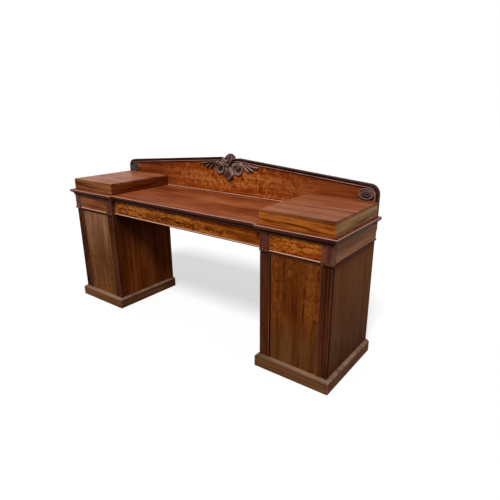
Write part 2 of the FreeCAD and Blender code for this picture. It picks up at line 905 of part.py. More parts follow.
def top_board():
    """The serving board, with a rounded edge on every side but the wall's."""
    reach = dim.top_projection - dim.frieze_overhang
    plan = breakfront(
        frieze_end + reach, frieze_face - reach, inner_face - reach, centre_frieze_face - reach, back,
    )
    body = padded("top_board", "XY_Plane", (moulding_top, serving_top), plan)
    doc.recompute()
    exposed = []
    for number, edge in enumerate(body.Shape.Edges, start=1):
        box = edge.BoundBox
        if box.ZLength < LEVEL and box.YMin < back.number - LEVEL:
            exposed.append(f"Edge{number}")
    blank = body.Tip
    rounding = body.newObject("PartDesign::Fillet", "top_board_rounding")
    rounding.Base = (blank, exposed)
    bind(rounding, "Radius", dim.top_edge_radius)
    node("top_board", body)


def raised_boxes():
    """Plain boxes that stand on the top over each pedestal and run back to the gallery."""
    lids = []
    near = front + dim.box_setback
    low = inner_face - dim.box_overhang
    wall = dim.box_wall
    lid_foot = box_top - dim.box_lid
    wall_z = (serving_top, lid_foot)
    for side, sign in SIDES:
        side_y = (near + wall, back)
        label = f"{side}_box_walls"
        node(label, group(label, [
            board(label + "_front", span(sign, low, outer_face), (near, near + wall), wall_z),
            board(label + "_inner", span(sign, low, low + wall), side_y, wall_z),
            board(label + "_outer", span(sign, outer_face - wall, outer_face), side_y, wall_z),
        ]))
        lids.append(board(f"{side}_box_lid", span(sign, low, outer_face), (near, back), (lid_foot, box_top)))
    node("box_lids", group("box_lids", lids))


# The rail runs up each end of the gallery, round its corner and along the slope, then over the scroll
gallery_end = outer_face
end_centre_x = gallery_end - dim.gallery_end_radius
end_centre_z = box_top + dim.gallery_end_rise
slope_start_x = end_centre_x + dim.gallery_end_radius * sine(dim.gallery_slope)
slope_start_z = end_centre_z + dim.gallery_end_radius * cosine(dim.gallery_slope)
wrap_radius = dim.scroll_radius + dim.scroll_gap + dim.rail_height
hump_x = dim.scroll_offset + wrap_radius * sine(dim.gallery_slope)
slope_rise = sine(dim.gallery_slope) / cosine(dim.gallery_slope)
hump_z = slope_start_z + (slope_start_x - hump_x) * slope_rise
scroll_z = hump_z - wrap_radius * cosine(dim.gallery_slope)
wrap_end_x = dim.scroll_offset - wrap_radius * sine(dim.scroll_wrap)
wrap_end_z = scroll_z + wrap_radius * cosine(dim.scroll_wrap)


def gallery_board():
    """The pediment-shaped board that stands behind the top, drilled for its screws."""
    foot = serving_top - dim.gallery_tail
    right = [
        (gallery_end, foot),
        (gallery_end, end_centre_z, dim.gallery_end_radius, -1),
        (slope_start_x, slope_start_z),
        (hump_x, hump_z, wrap_radius, -1),
        (wrap_end_x, wrap_end_z),
    ]
    left = [
        (-wrap_end_x, wrap_end_z, wrap_radius, -1),
        (-hump_x, hump_z),
        (-slope_start_x, slope_start_z, dim.gallery_end_radius, -1),
        (-gallery_end, end_centre_z),
        (-gallery_end, foot),
    ]
    slab = padded("gallery_slab", "XZ_Plane", (back, back + dim.gallery_thickness), right + left)
    holes = screw_shapes("gallery_screw_hole", dim.screw_clearance)
    node("gallery_board", cut("gallery_board", slab, holes))
    node("gallery_screws", group("gallery_screws", screw_shapes("gallery_screw", as_size(0))))


def gallery_rail(side, sign):
    """The moulded rail along the gallery's edge: a cushion, a quirk and a bead, swept in one length."""
    body = doc.addObject("PartDesign::Body", f"{side}_gallery_rail")
    shelf = back - dim.rail_projection / 2
    crown = back - dim.rail_projection
    cushion_end = gallery_end - dim.rail_cushion
    bead_start = cushion_end - dim.rail_quirk
    bead_end = gallery_end - dim.rail_height
    bead_round = (dim.rail_height - dim.rail_cushion - dim.rail_quirk) / 2
    cushion_half = dim.rail_cushion / 2
    rise = dim.rail_cushion_rise
    cushion_radius = (cushion_half * cushion_half + rise * rise) / (2 * rise)
    section = [
        (gallery_end, back),
        (gallery_end, crown, cushion_radius, 1),
        (cushion_end, crown),
        (cushion_end, shelf),
        *half_round((bead_start, shelf), (bead_end, shelf), bead_round, 1),
        (bead_end, shelf),
        (bead_end, back),
    ]
    path = [
        (gallery_end, box_top),
        (gallery_end, end_centre_z, dim.gallery_end_radius, -1),
        (slope_start_x, slope_start_z),
        (hump_x, hump_z, wrap_radius, -1),
        (wrap_end_x, wrap_end_z),
    ]
    profile = sketch_in(body, "XY_Plane", box_top, mirrored(sign, section))
    spine = sketch_in(body, "XZ_Plane", -back, mirrored(sign, path), closed=False)
    sweep = body.newObject("PartDesign::AdditivePipe", f"{side}_gallery_sweep")
    sweep.Profile = profile
    sweep.Spine = (spine, ["Edge1", "Edge2", "Edge3", "Edge4"])
    node(f"{side}_gallery_rail", body)


def oval(name, x, z, depth, width, height):
    item = doc.addObject("Part::Ellipse", name)
    bind(item, "MajorRadius", width / 2)
    bind(item, "MinorRadius", height / 2)
    place(item, x, back - depth, z, TO_FRONT)
    return item


def lofted(name, sections):
    item = doc.addObject("Part::Loft", name)
    item.Sections = sections
    item.Solid = True
    item.Ruled = True
    return item


# Straight chords that carve the round of the bud, and of the eyes and buttons
BUD_CHORDS = 3
BOSS_CHORDS = 2
QUARTER_TURN = 90


def dome(name, x, z, depth, radius, rise, chords=BOSS_CHORDS):
    """A round boss that swells forward from a plane in front of the gallery's face."""
    outline = [(0, 0)]
    for step in range(chords):
        angle = as_size(QUARTER_TURN * step / chords)
        outline.append((radius * cosine(angle), rise * sine(angle)))
    outline.append((0, rise))
    item = revolved(name, outline)
    place(item, x, back - depth, z, TO_FRONT)
    return item


def ridged(name, stretch, outline, half_width, relief):
    """A carved leaf that lies along x: its outline stands forward and slopes from a ridge along its middle."""
    slab = padded(name + "_slab", "XZ_Plane", (-relief, 0), outline)
    ridge = dim.leaf_ridge / 2
    foot = half_width + dim.leaf_edge
    slopes = [(0, -foot), (-relief, -ridge), (-relief, ridge), (0, foot)]
    return common(name, slab, padded(name + "_slopes", "YZ_Plane", stretch, slopes))


def roundels():
    """Dished oval roundels with a ring and a button, each on a bead inside the rail's rounded end."""
    width = dim.roundel_width
    height = dim.roundel_height
    relief = dim.roundel_relief
    ring = dim.roundel_ring
    sunk = relief / 3
    bead_top = box_top + dim.roundel_bead
    rail_edge = gallery_end - dim.rail_height - dim.roundel_gap
    x = rail_edge - width / 2
    z = bead_top + dim.roundel_gap + height / 2
    ovals = []
    beads = []
    for side, sign in SIDES:
        name = f"{side}_roundel"
        outside = lofted(name + "_body", [
            oval(name + "_rim_foot", sign * x, z, as_size(0), width, height),
            oval(name + "_rim_waist", sign * x, z, relief / 2, width, height),
            oval(name + "_rim_crown", sign * x, z, relief, width - ring, height - ring),
        ])
        inside = lofted(name + "_dish", [
            oval(name + "_dish_mouth", sign * x, z, relief, width - ring, height - ring),
            oval(name + "_dish_floor", sign * x, z, sunk, width - 3 * ring, height - 3 * ring),
        ])
        button = dome(name + "_button", sign * x, z, sunk, dim.roundel_button, relief - sunk)
        ovals.append(fuse(name, [cut(name + "_dished", outside, [inside]), button]))
        bead = [*half_round((back, box_top), (back, bead_top), dim.roundel_bead / 2, 1), (back, bead_top)]
        beads.append(padded(name + "_bead", "YZ_Plane", span(sign, rail_edge - width, rail_edge), bead))
    node("gallery_roundels", group("gallery_roundels", ovals))
    node("roundel_beads", group("roundel_beads", beads))


def scrolls():
    """Volutes with a ridged ring and a domed eye set high in their dish, turned and planted by the crest."""
    radius = dim.scroll_radius
    ring = dim.scroll_ring
    relief = dim.scroll_relief
    sunk = relief / 2
    outline = [
        (0, 0),
        (radius, 0),
        (radius, relief),
        (radius - ring / 2, relief + ring / 2),
        (radius - ring, relief),
        (radius - ring, sunk),
        (0, sunk),
    ]
    eye_z = scroll_z + dim.scroll_eye_lift
    members = []
    for side, sign in SIDES:
        x = sign * dim.scroll_offset
        dish = revolved(f"{side}_scroll_dish", outline)
        place(dish, x, back, scroll_z, TO_FRONT)
        eye = dome(f"{side}_scroll_eye", x, eye_z, sunk, dim.scroll_eye, dim.scroll_eye_relief - sunk)
        members.append(fuse(f"{side}_scroll", [dish, eye]))
    node("crest_scrolls", group("crest_scrolls", members))


def palmette():
    """The crest's middle: a waisted stem with a round head, a full bud on it and a ridged leaf below."""
    z = scroll_z + dim.bud_lift
    right = [
        (0, z - dim.tip_drop),
        (dim.shoulder_half_width, z - dim.shoulder_drop),
        (dim.waist_half_width, z - dim.waist_drop),
        *half_round((dim.bud_radius, z), (-dim.bud_radius, z), dim.bud_radius, -1),
    ]
    left = [(-dim.bud_radius, z)] + [(-x, height) for x, height in reversed(right[1:3])]
    stem = padded("palmette_stem", "XZ_Plane", (back - dim.palmette_relief, back), right + left)
    rise = dim.bud_relief - dim.palmette_relief
    bud_face = dim.bud_radius - dim.bud_rim
    bud = dome("palmette_bud", as_size(0), z, dim.palmette_relief, bud_face, rise, BUD_CHORDS)
    length = dim.leaf_length
    half_width = dim.leaf_half_width
    lozenge = [(0, 0), (length / 2, -half_width), (length, 0), (length / 2, half_width)]
    leaf = ridged("palmette_leaf", (0, length), lozenge, half_width, dim.leaf_relief)
    leaf_root = z - dim.shoulder_drop + length / 2
    place(leaf, as_size(0), back - dim.palmette_relief, leaf_root, DOWNWARD)
    node("crest_palmette", fuse("crest_palmette", [stem, bud, leaf]))


def wings():
    """Three long fronds that fan out under each rail from the scroll, each with its own length and dip."""
    fans = (
        ("upper", 1, dim.upper_frond_length, dim.upper_frond_dip),
        ("middle", 0, dim.middle_frond_length, dim.middle_frond_dip),
        ("lower", -1, dim.lower_frond_length, dim.lower_frond_dip),
    )
    root_x = dim.scroll_offset + dim.scroll_radius + dim.frond_root_gap
    root = dim.frond_root_width / 2
    swell = dim.frond_width / 2
    members = []
    for side, sign in SIDES:
        for name, level, length, dip in fans:
            tip = length - swell
            round_end = half_round((tip, -swell), (tip, swell), swell, -1)
            teardrop = mirrored(sign, [(0, -root), *round_end, (tip, swell), (0, root)])
            frond = ridged(f"{side}_{name}_frond", span(sign, 0, length), teardrop, swell, dim.frond_relief)
            root_z = scroll_z + dim.frond_root_lift + level * dim.frond_spacing
            lean = FreeCAD.Rotation(FreeCAD.Vector(0, 1, 0), sign * dip.number)
            place(frond, sign * root_x, back, root_z, lean)
            members.append(frond)
    node("crest_wings", group("crest_wings", members))


SHARED_NODES = {
    "back": "pedestal_backs",
    "bottom": "pedestal_bottoms",
    "top": "pedestal_tops",
    "shelf": "pedestal_shelves",
    "cleat": "shelf_cleats",
    "plinth_rail": "plinth_rails",
    "head_rail": "door_head_rails",
    "socket": "pivot_sockets",
}


def pedestals():
    shared = {kind: [] for kind in SHARED_NODES}
    for side, sign in SIDES:
        plinth(side, sign)
        for kind, members in pedestal(side, sign).items():
            shared[kind] += members
        door(side, sign)
    for kind, label in SHARED_NODES.items():
        node(label, group(label, shared[kind]))


pedestals()
frieze()
drawers()
top_moulding()
top_board()
raised_boxes()
gallery_board()
for side, sign in SIDES:
    gallery_rail(side, sign)
roundels()
scrolls()
palmette()
wings()
doc.recompute()

for item in doc.Objects:
    if "Invalid" in item.State or "Error" in item.State:
        raise RuntimeError(f"{item.Label} failed: {item.State}")
for item in nodes:
    if item.Shape.isNull() or not item.Shape.isValid():
        raise RuntimeError(f"{item.Label} has no valid shape")

os.makedirs("parts", exist_ok=True)
for item in nodes:
    item.Shape.exportStep(f"parts/{item.Label}.step")
print(f"{len(nodes)} pieces written")
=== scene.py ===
"""A mahogany pedestal sideboard: polished boards, carved crest and roundels, on a pale studio floor."""
import math

import bmesh
import bpy
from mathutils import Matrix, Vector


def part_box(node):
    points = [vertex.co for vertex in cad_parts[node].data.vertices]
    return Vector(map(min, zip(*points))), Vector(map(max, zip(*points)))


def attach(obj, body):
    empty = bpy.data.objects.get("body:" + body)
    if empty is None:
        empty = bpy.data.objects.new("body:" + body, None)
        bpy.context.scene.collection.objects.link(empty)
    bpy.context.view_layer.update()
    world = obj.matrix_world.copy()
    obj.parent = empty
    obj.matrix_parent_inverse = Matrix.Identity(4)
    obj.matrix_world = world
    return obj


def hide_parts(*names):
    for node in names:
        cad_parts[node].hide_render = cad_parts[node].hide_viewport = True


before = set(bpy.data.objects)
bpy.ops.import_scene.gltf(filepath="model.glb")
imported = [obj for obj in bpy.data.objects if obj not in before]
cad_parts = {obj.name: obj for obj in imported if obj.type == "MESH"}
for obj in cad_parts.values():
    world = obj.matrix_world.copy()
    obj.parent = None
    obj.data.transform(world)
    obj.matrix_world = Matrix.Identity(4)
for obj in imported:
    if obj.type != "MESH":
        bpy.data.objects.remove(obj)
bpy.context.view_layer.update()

MM = 0.001
SIDES = ("left", "right")
DRAWERS = ("left", "centre", "right")
BOARD_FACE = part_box("gallery_board")[0].y
BOARD_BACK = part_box("gallery_board")[1].y
BOARD_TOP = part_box("gallery_board")[1].z

# Node kinds. A range's inputs are its value, where it starts and ends, and what it becomes there. A mix's are its
# share and then its two vectors (4 and 5) or its two colours (6 and 7).
MATH, RANGE, MIX = "ShaderNodeMath", "ShaderNodeMapRange", "ShaderNodeMix"
VECTOR, SPLIT, NOISE = "ShaderNodeVectorMath", "ShaderNodeSeparateXYZ", "ShaderNodeTexNoise"
OCCLUSION, SURFACE = "ShaderNodeAmbientOcclusion", "ShaderNodeOutputMaterial"

# Grain lies along the axes named here: a board's streaks are long along them and narrow across. LEVEL is for frames
# of boards, whose grain goes round with them and turns along x on faces that look up or down as squarely as LOOKS_UP.
LENGTHWISE = "x"
UPRIGHT = "z"
LEVEL = "xy"
LEVEL_ON_FLATS = "x"
LOOKS_UP = (0.6, 0.7)

# A board's show face, by its axis and sense. ENDS shows both ends alike. Faces that look that way as squarely as the
# first share are show faces, and those less so than the second are edges. A rounded edge is rubbed, and painted with
# a highlight, between its top and its foot.
FRONT = ("y", -1)
TOP = ("z", 1)
ENDS = ("x", 1)
SQUARELY = (0.8, 0.7)
ROUGHLY = (0.3, 0.2)
NOSE_TOP = (0.97, 0.85)
NOSE_FOOT = (0.15, 0.45)

# Streaks in sawn wood: millimetres across and along the grain, and how finely their edges break up. Fibres and pores
# are drawn several times coarser than life so that they show. A stripe is so many times as long as wide, and stripes
# and flecks also waver. Each board is cut from a place of its own in the wood.
DRIFT = (150, 420, 2.0)
FIBRES = (6, 120, 3.0)
PORES = (3.5, 32, 1.0)
CLOUDS = (60, 110, 3.0)
STRIPE_RUN = 30
STRIPE_BREAK, STRIPE_WAVER = 3.0, 0.5
FLECK_BREAK, FLECK_WAVER = 1.5, 1.0
BOARD_SHIFT = (3.1, 5.7, 4.3)

# What each adds to the tone, and how far from the middle the tone goes to be fully dark or light.
STRIPE_SHARE, DRIFT_SHARE, FIBRE_SHARE = 0.45, 0.3, 0.25
MIDDLE, TO_DARK, TO_LIGHT = 0.5, 0.12, 0.14

# Where curls, drops and pores begin and are full in their noise, and between which levels of the drift flecks come.
CURLS = (0.47, 0.36)
DROPS = (0.54, 0.64)
PITS = (0.58, 0.72)
PIT_SHARE = 0.4
FLECKED = (0.36, 0.52)
LEAST_FLECK = 0.1

# Where rub with painted highlight, and old wax with painted shade, begin and are full: by how open the rim or the
# corner is, and by how sharp the hollow is. Rub and highlight come and go with the drift.
RIM_RUB_AND_HIGHLIGHT = (0.8, 0.35)
CORNER_WAX_AND_SHADE = (0.75, 0.1)
HOLLOWS = (0.49, 0.43)
HOLLOW_SHARE = 0.9
RUB_AND_HIGHLIGHT_DRIFT = (0.25, 0.55)
LEAST_RUB_AND_HIGHLIGHT = 0.3
# Near-black colours of old wax, which also stand for painted shade in corners, quirks and carved hollows.
OLD_WAX_AND_SHADE = "#120703"
HOLLOW_WAX_AND_SHADE = "#0e0605"

# The polish lies a little uneven: fibres stand up, pores sink, and clouds are smoother or duller.
FIBRE_RISE, PIT_SINK = 0.5, -0.5
POLISH_CLOUDS = (0.3, 0.7)
SMOOTHER, DULLER = 0.06, 0.1
BUMP = 0.2
POLISH_DEPTH = 0.5 * MM
POLISH_IOR = 1.5


def linear(code):
    """An sRGB hex colour as linear red, green, blue and alpha."""
    shares = [int(code[start:start + 2], 16) / 255 for start in (1, 3, 5)]
    return [s / 12.92 if s <= 0.04045 else ((s + 0.055) / 1.055) ** 2.4 for s in shares] + [1.0]


def add_node(tree, kind, links=None, **settings):
    """Adds one node. settings are its properties. links are its inputs, each a value, a hex colour, or the output or
    node that feeds it. A node feeds by the first output that it shows."""
    node = tree.nodes.new(kind)
    for name, value in settings.items():
        setattr(node, name, value)
    for socket, value in (links or {}).items():
        if isinstance(value, bpy.types.Node):
            value = next(output for output in value.outputs if output.enabled)
        if isinstance(value, bpy.types.NodeSocket):
            tree.links.new(value, node.inputs[socket])
        else:
            node.inputs[socket].default_value = linear(value) if isinstance(value, str) else value
    return node


def new_material(name):
    """An empty material and its node tree."""
    material = bpy.data.materials.new(name)
    material.use_nodes = True
    material.node_tree.nodes.clear()
    return material, material.node_tree


def timber(name, grain, tones, wear_and_highlight_tone="#a87c68", stripe=22, contrast=1.0, fleck=0.0, fleck_size=(13, 36), turns=None,
           show=None, edge_tones=None, arris_rub_and_highlight=0.0, rough=0.3, gloss=0.02, wear_and_highlight=0.4, wear_and_highlight_reach=4, wax_and_shade=0.7,
           wax_and_shade_reach=25, ridges=None):
    """Sawn and finished wood in three tones, dark to light. The eye sees long stripes of changing tone, fine fibres
    and short dark pores along the grain, arrises rubbed and painted with highlights in the worn colour, and old wax
    with painted shade in the corners, near other parts and in carved hollows.

    stripe is the width of a stripe in millimetres, and contrast how soon it goes to the dark and light tones. fleck
    adds the dark drops and pale curls of plum-pudding mahogany, of fleck_size in millimetres across and along the
    grain. turns is an axis, two distances along it in metres, and the tones that the wood turns to between them. show
    is a board's show face, whose other faces take edge_tones and whose rounded edge the arris share rubs and paints
    with a highlight. rough and gloss are the film's: old polish has dulled, and more gloss would wash dark wood grey
    in a white room. The wear and wax shares say how much rub with painted highlight and how much old wax with painted
    shade there is, and their reaches how far they go in millimetres. ridges is the sharpness at which the ridges of a
    carving begin to be rubbed and painted with highlights, and at which they are bare; sharp hollows are then painted
    dark with wax and shade."""
    material, tree = new_material(name)
    place = add_node(tree, "ShaderNodeTexCoord").outputs
    own = add_node(tree, "ShaderNodeObjectInfo").outputs
    shift = add_node(tree, VECTOR, {0: BOARD_SHIFT, "Scale": own["Random"]}, operation="SCALE")
    board = add_node(tree, VECTOR, {0: place["Object"], 1: shift})
    normal = add_node(tree, SPLIT, {0: place["Normal"]}).outputs

    def streaks(across, along, broken, waver=0.0):
        """Soft streaks along the grain, of these widths and lengths in millimetres."""
        counts, flat_counts = ([1 / ((along if axis in axes else across) * MM) for axis in "xyz"]
                               for axes in (grain, LEVEL_ON_FLATS))
        if grain == LEVEL:
            flat = add_node(tree, MATH, {0: normal["Z"]}, operation="ABSOLUTE")
            flat = add_node(tree, RANGE, {0: flat, 1: LOOKS_UP[0], 2: LOOKS_UP[1]})
            counts = add_node(tree, MIX, {0: flat, 4: counts, 5: flat_counts}, data_type="VECTOR")
        at = add_node(tree, VECTOR, {0: board, 1: counts}, operation="MULTIPLY")
        return add_node(tree, NOISE, {"Vector": at, "Scale": 1.0, "Detail": broken, "Distortion": waver})

    def toned(dark, body, light):
        """The wood's tone from dark to light."""
        shade = add_node(tree, MIX, {0: darker, 6: dark, 7: body}, data_type="RGBA")
        return add_node(tree, MIX, {0: lighter, 6: shade, 7: light}, data_type="RGBA")

    drift = streaks(*DRIFT)
    stripes = streaks(stripe, STRIPE_RUN * stripe, STRIPE_BREAK, STRIPE_WAVER)
    fibres = streaks(*FIBRES)
    pores = streaks(*PORES)
    tone = add_node(tree, MATH, {0: stripes, 1: STRIPE_SHARE}, operation="MULTIPLY")
    tone = add_node(tree, MATH, {0: drift, 1: DRIFT_SHARE, 2: tone}, operation="MULTIPLY_ADD")
    tone = add_node(tree, MATH, {0: fibres, 1: FIBRE_SHARE, 2: tone}, operation="MULTIPLY_ADD")
    darker = add_node(tree, RANGE, {0: tone, 1: MIDDLE - TO_DARK / contrast, 2: MIDDLE})
    lighter = add_node(tree, RANGE, {0: tone, 1: MIDDLE, 2: MIDDLE + TO_LIGHT / contrast})
    colour = toned(*tones)

    if fleck:
        mottle = streaks(*fleck_size, FLECK_BREAK, FLECK_WAVER)
        amount = add_node(tree, RANGE, {0: drift, 1: FLECKED[0], 2: FLECKED[1], 3: LEAST_FLECK, 4: fleck})
        for (edge, core), figure in ((CURLS, tones[2]), (DROPS, tones[0])):
            share = add_node(tree, RANGE, {0: mottle, 1: edge, 2: core})
            share = add_node(tree, MATH, {0: share, 1: amount}, operation="MULTIPLY")
            colour = add_node(tree, MIX, {0: share, 6: colour, 7: figure}, data_type="RGBA")
    if turns:
        axis, start, end, other_tones = turns
        reach = add_node(tree, SPLIT, {0: place["Object"]}).outputs[axis.upper()]
        reach = add_node(tree, MATH, {0: reach}, operation="ABSOLUTE")
        share = add_node(tree, RANGE, {0: reach, 1: start, 2: end})
        colour = add_node(tree, MIX, {0: share, 6: colour, 7: toned(*other_tones)}, data_type="RGBA")
    if show:
        axis, sense = show
        facing = normal[axis.upper()]
        shown, edge = SQUARELY
        if show == ENDS:
            facing = add_node(tree, MATH, {0: facing}, operation="ABSOLUTE")
            shown, edge = ROUGHLY
        share = add_node(tree, RANGE, {0: facing, 1: shown * sense, 2: edge * sense})
        colour = add_node(tree, MIX, {0: share, 6: colour, 7: toned(*edge_tones)}, data_type="RGBA")
        # The rounded edge is painted pale: partly rub, partly a painted highlight.
        if arris_rub_and_highlight:
            upper = add_node(tree, RANGE, {0: facing, 1: NOSE_TOP[0] * sense, 2: NOSE_TOP[1] * sense, 4: arris_rub_and_highlight})
            lower = add_node(tree, RANGE, {0: facing, 1: NOSE_FOOT[0] * sense, 2: NOSE_FOOT[1] * sense})
            nose_rub_and_highlight = add_node(tree, MATH, {0: upper, 1: lower}, operation="MULTIPLY")
            colour = add_node(tree, MIX, {0: nose_rub_and_highlight, 6: colour, 7: wear_and_highlight_tone}, data_type="RGBA")

    pits = add_node(tree, RANGE, {0: pores, 1: PITS[0], 2: PITS[1]})
    share = add_node(tree, MATH, {0: pits, 1: PIT_SHARE}, operation="MULTIPLY")
    colour = add_node(tree, MIX, {0: share, 6: colour, 7: tones[0]}, data_type="RGBA")

    # Arrises are paler than the faces, rubbed and with painted highlights, and old wax and painted shade darken the
    # quirks, the corners near other parts and the carved hollows.
    if ridges:
        crown = add_node(tree, "ShaderNodeNewGeometry").outputs["Pointiness"]
        rub_and_highlight = add_node(tree, RANGE, {0: crown, 1: ridges[0], 2: ridges[1], 4: wear_and_highlight})
        hollow = add_node(tree, RANGE, {0: crown, 1: HOLLOWS[0], 2: HOLLOWS[1], 4: HOLLOW_SHARE})
        colour = add_node(tree, MIX, {0: hollow, 6: colour, 7: HOLLOW_WAX_AND_SHADE}, data_type="RGBA")
    else:
        rim = add_node(tree, OCCLUSION, {"Distance": wear_and_highlight_reach * MM}, inside=True, only_local=True, samples=4)
        rub_and_highlight = add_node(tree, RANGE, {0: rim.outputs["AO"], 1: RIM_RUB_AND_HIGHLIGHT[0], 2: RIM_RUB_AND_HIGHLIGHT[1], 4: wear_and_highlight})
    patchy = add_node(tree, RANGE, {0: drift, 1: RUB_AND_HIGHLIGHT_DRIFT[0], 2: RUB_AND_HIGHLIGHT_DRIFT[1], 3: LEAST_RUB_AND_HIGHLIGHT})
    rub_and_highlight = add_node(tree, MATH, {0: rub_and_highlight, 1: patchy}, operation="MULTIPLY")
    colour = add_node(tree, MIX, {0: rub_and_highlight, 6: colour, 7: wear_and_highlight_tone}, data_type="RGBA")
    # Corners near other parts are darkened: old wax and painted shade.
    corner = add_node(tree, OCCLUSION, {"Distance": wax_and_shade_reach * MM}, samples=4).outputs["AO"]
    shaded_wax = add_node(tree, RANGE, {0: corner, 1: CORNER_WAX_AND_SHADE[0], 2: CORNER_WAX_AND_SHADE[1], 4: wax_and_shade})
    colour = add_node(tree, MIX, {0: shaded_wax, 6: colour, 7: OLD_WAX_AND_SHADE}, data_type="RGBA")

    clouds = streaks(*CLOUDS)
    height = add_node(tree, MATH, {0: fibres, 1: FIBRE_RISE, 2: clouds}, operation="MULTIPLY_ADD")
    height = add_node(tree, MATH, {0: pits, 1: PIT_SINK, 2: height}, operation="MULTIPLY_ADD")
    bump = add_node(tree, "ShaderNodeBump", {"Strength": BUMP, "Distance": POLISH_DEPTH, "Height": height})
    polish = add_node(tree, RANGE, {0: clouds, 1: POLISH_CLOUDS[0], 2: POLISH_CLOUDS[1], 3: rough - SMOOTHER,
                                    4: rough + DULLER})
    shader = add_node(tree, "ShaderNodeBsdfPrincipled", {
        "Base Color": colour, "Roughness": polish, "Normal": bump, "IOR": POLISH_IOR, "Specular IOR Level": gloss})
    add_node(tree, SURFACE, {"Surface": shader})
    return material


# A file mark's size in millimetres along x, y and z. It is drawn a millimetre wide so that it shows. Clouds of
# tarnish are full and gone at these levels of their noise.
FILE_MARK = (1000 / 90, 1000 / 90, 1)
MARK_BREAK = 2.0
MARK_DEPTH = 0.2 * MM
TARNISH_SIZE = 12 * MM
TARNISH_BREAK = 3.0
TARNISH = (0.35, 0.65)
RUBBED_SMOOTH, TARNISHED_DULL = 0.05, 0.15


def metal(name, tarnish, bright, rough):
    """Filed and handled metal: bright and smooth where rubbed, dull with tarnish in soft clouds, with fine file
    marks."""
    material, tree = new_material(name)
    place = add_node(tree, "ShaderNodeTexCoord").outputs["Object"]
    clouds = add_node(tree, NOISE, {"Vector": place, "Scale": 1 / TARNISH_SIZE, "Detail": TARNISH_BREAK})
    counts = [1 / (size * MM) for size in FILE_MARK]
    marks = add_node(tree, VECTOR, {0: place, 1: counts}, operation="MULTIPLY")
    marks = add_node(tree, NOISE, {"Vector": marks, "Scale": 1.0, "Detail": MARK_BREAK})
    bump = add_node(tree, "ShaderNodeBump", {"Strength": BUMP, "Distance": MARK_DEPTH, "Height": marks})
    share = add_node(tree, RANGE, {0: clouds, 1: TARNISH[0], 2: TARNISH[1]})
    colour = add_node(tree, MIX, {0: share, 6: tarnish, 7: bright}, data_type="RGBA")
    polish = add_node(tree, RANGE, {0: clouds, 1: POLISH_CLOUDS[0], 2: POLISH_CLOUDS[1], 3: rough + TARNISHED_DULL,
                                    4: rough - RUBBED_SMOOTH})
    shader = add_node(tree, "ShaderNodeBsdfPrincipled", {
        "Base Color": colour, "Metallic": 1.0, "Roughness": polish, "Normal": bump})
    add_node(tree, SURFACE, {"Surface": shader})
    return material


RAIL_BEAD = 8 * MM
RAIL_BEAD_EDGE = 0.5 * MM
BOX_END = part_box("right_box_walls")[1].x
BOX_EDGE = 10 * MM
DARK_TONES = ("#1a0a07", "#2c140e", "#43241b")
MOULDING_TONES = ("#27100a", "#48221a", "#643a2e")
CARVED_TONES = ("#200d0b", "#3c1e1a", "#54332d")
# Worn colours, which also serve as painted highlights on arrises, noses, beads and carved ridges.
PINK_WORN_AND_HIGHLIGHT = "#b78c7c"
CARVED_WORN_AND_HIGHLIGHT = "#bc988c"

# Plum-pudding veneer, French polished. The eye sees dark drops and pale curls in warm orange wood under a thin clear
# film. The gallery's has near-round drops and runs out to plain red wood at its ends; its bare back is dark with age.
# The drawers' have dashes that lie along the grain, and the left one's is nearly plain.
gallery_veneer = timber(
    "plum_pudding_mahogany_gallery_french_polished", LENGTHWISE, ("#662204", "#984616", "#b66e34"), stripe=26,
    fleck=0.95, fleck_size=(28, 22), turns=("x", 0.25, 0.78, ("#52200c", "#773515", "#8e4c28")), show=FRONT,
    edge_tones=("#2e150d", "#4c2a1c", "#663f2c"), gloss=0.008, wear_and_highlight=0.1)
drawer_veneer = timber(
    "plum_pudding_mahogany_drawer_french_polished", LENGTHWISE, ("#481502", "#7f3a0d", "#b26c24"), stripe=20,
    fleck=0.85, show=FRONT, edge_tones=MOULDING_TONES)
bright_veneer = timber(
    "bright_plum_pudding_mahogany_drawer_french_polished", LENGTHWISE, ("#581a04", "#984513", "#c4772b"), stripe=20,
    fleck=0.85, show=FRONT, edge_tones=MOULDING_TONES)
plain_veneer = timber(
    "plain_mahogany_drawer_french_polished", LENGTHWISE, ("#54230f", "#7c3e1c", "#965a30"), stripe=20, contrast=1.4,
    fleck=0.2, show=FRONT, edge_tones=MOULDING_TONES)

# Waxed boards that are wiped and set upon: long red-brown stripes and a low sheen. The top's nose is rubbed and
# painted pale as a highlight, and the strip outside the boxes is painted dark as shade.
top_mahogany = timber(
    "mahogany_top_waxed_and_worn", LENGTHWISE, ("#5c2710", "#824020", "#9e5a36"), wear_and_highlight_tone=PINK_WORN_AND_HIGHLIGHT, stripe=24,
    contrast=1.2, turns=("x", BOX_END - BOX_EDGE, BOX_END, ("#381a10", "#583024", "#704838")), show=TOP,
    edge_tones=MOULDING_TONES, arris_rub_and_highlight=0.9, rough=0.32)
lid_mahogany = timber(
    "mahogany_lid_waxed_and_worn", LENGTHWISE, ("#64301a", "#8c4e30", "#a26848"), stripe=30, show=TOP,
    edge_tones=("#4a1f08", "#834a20", "#a06834"), rough=0.34, gloss=0.03, wear_and_highlight=0.2)

# Ribbon mahogany, French polished: upright flames of dark and light in a smooth film. The right door turns greyer
# towards its foot, and the left one's upper part is painted paler, a painted reflection. The rail over each door is
# plain wood with level stripes.
door_mahogany = timber(
    "ribbon_mahogany_door_french_polished", UPRIGHT, ("#421904", "#68310b", "#8a4c1e"), stripe=26, contrast=0.9,
    fleck=0.6, turns=("z", 0.40, 0.22, ("#402108", "#5e3515", "#74482a")), rough=0.28, wear_and_highlight=0.1)
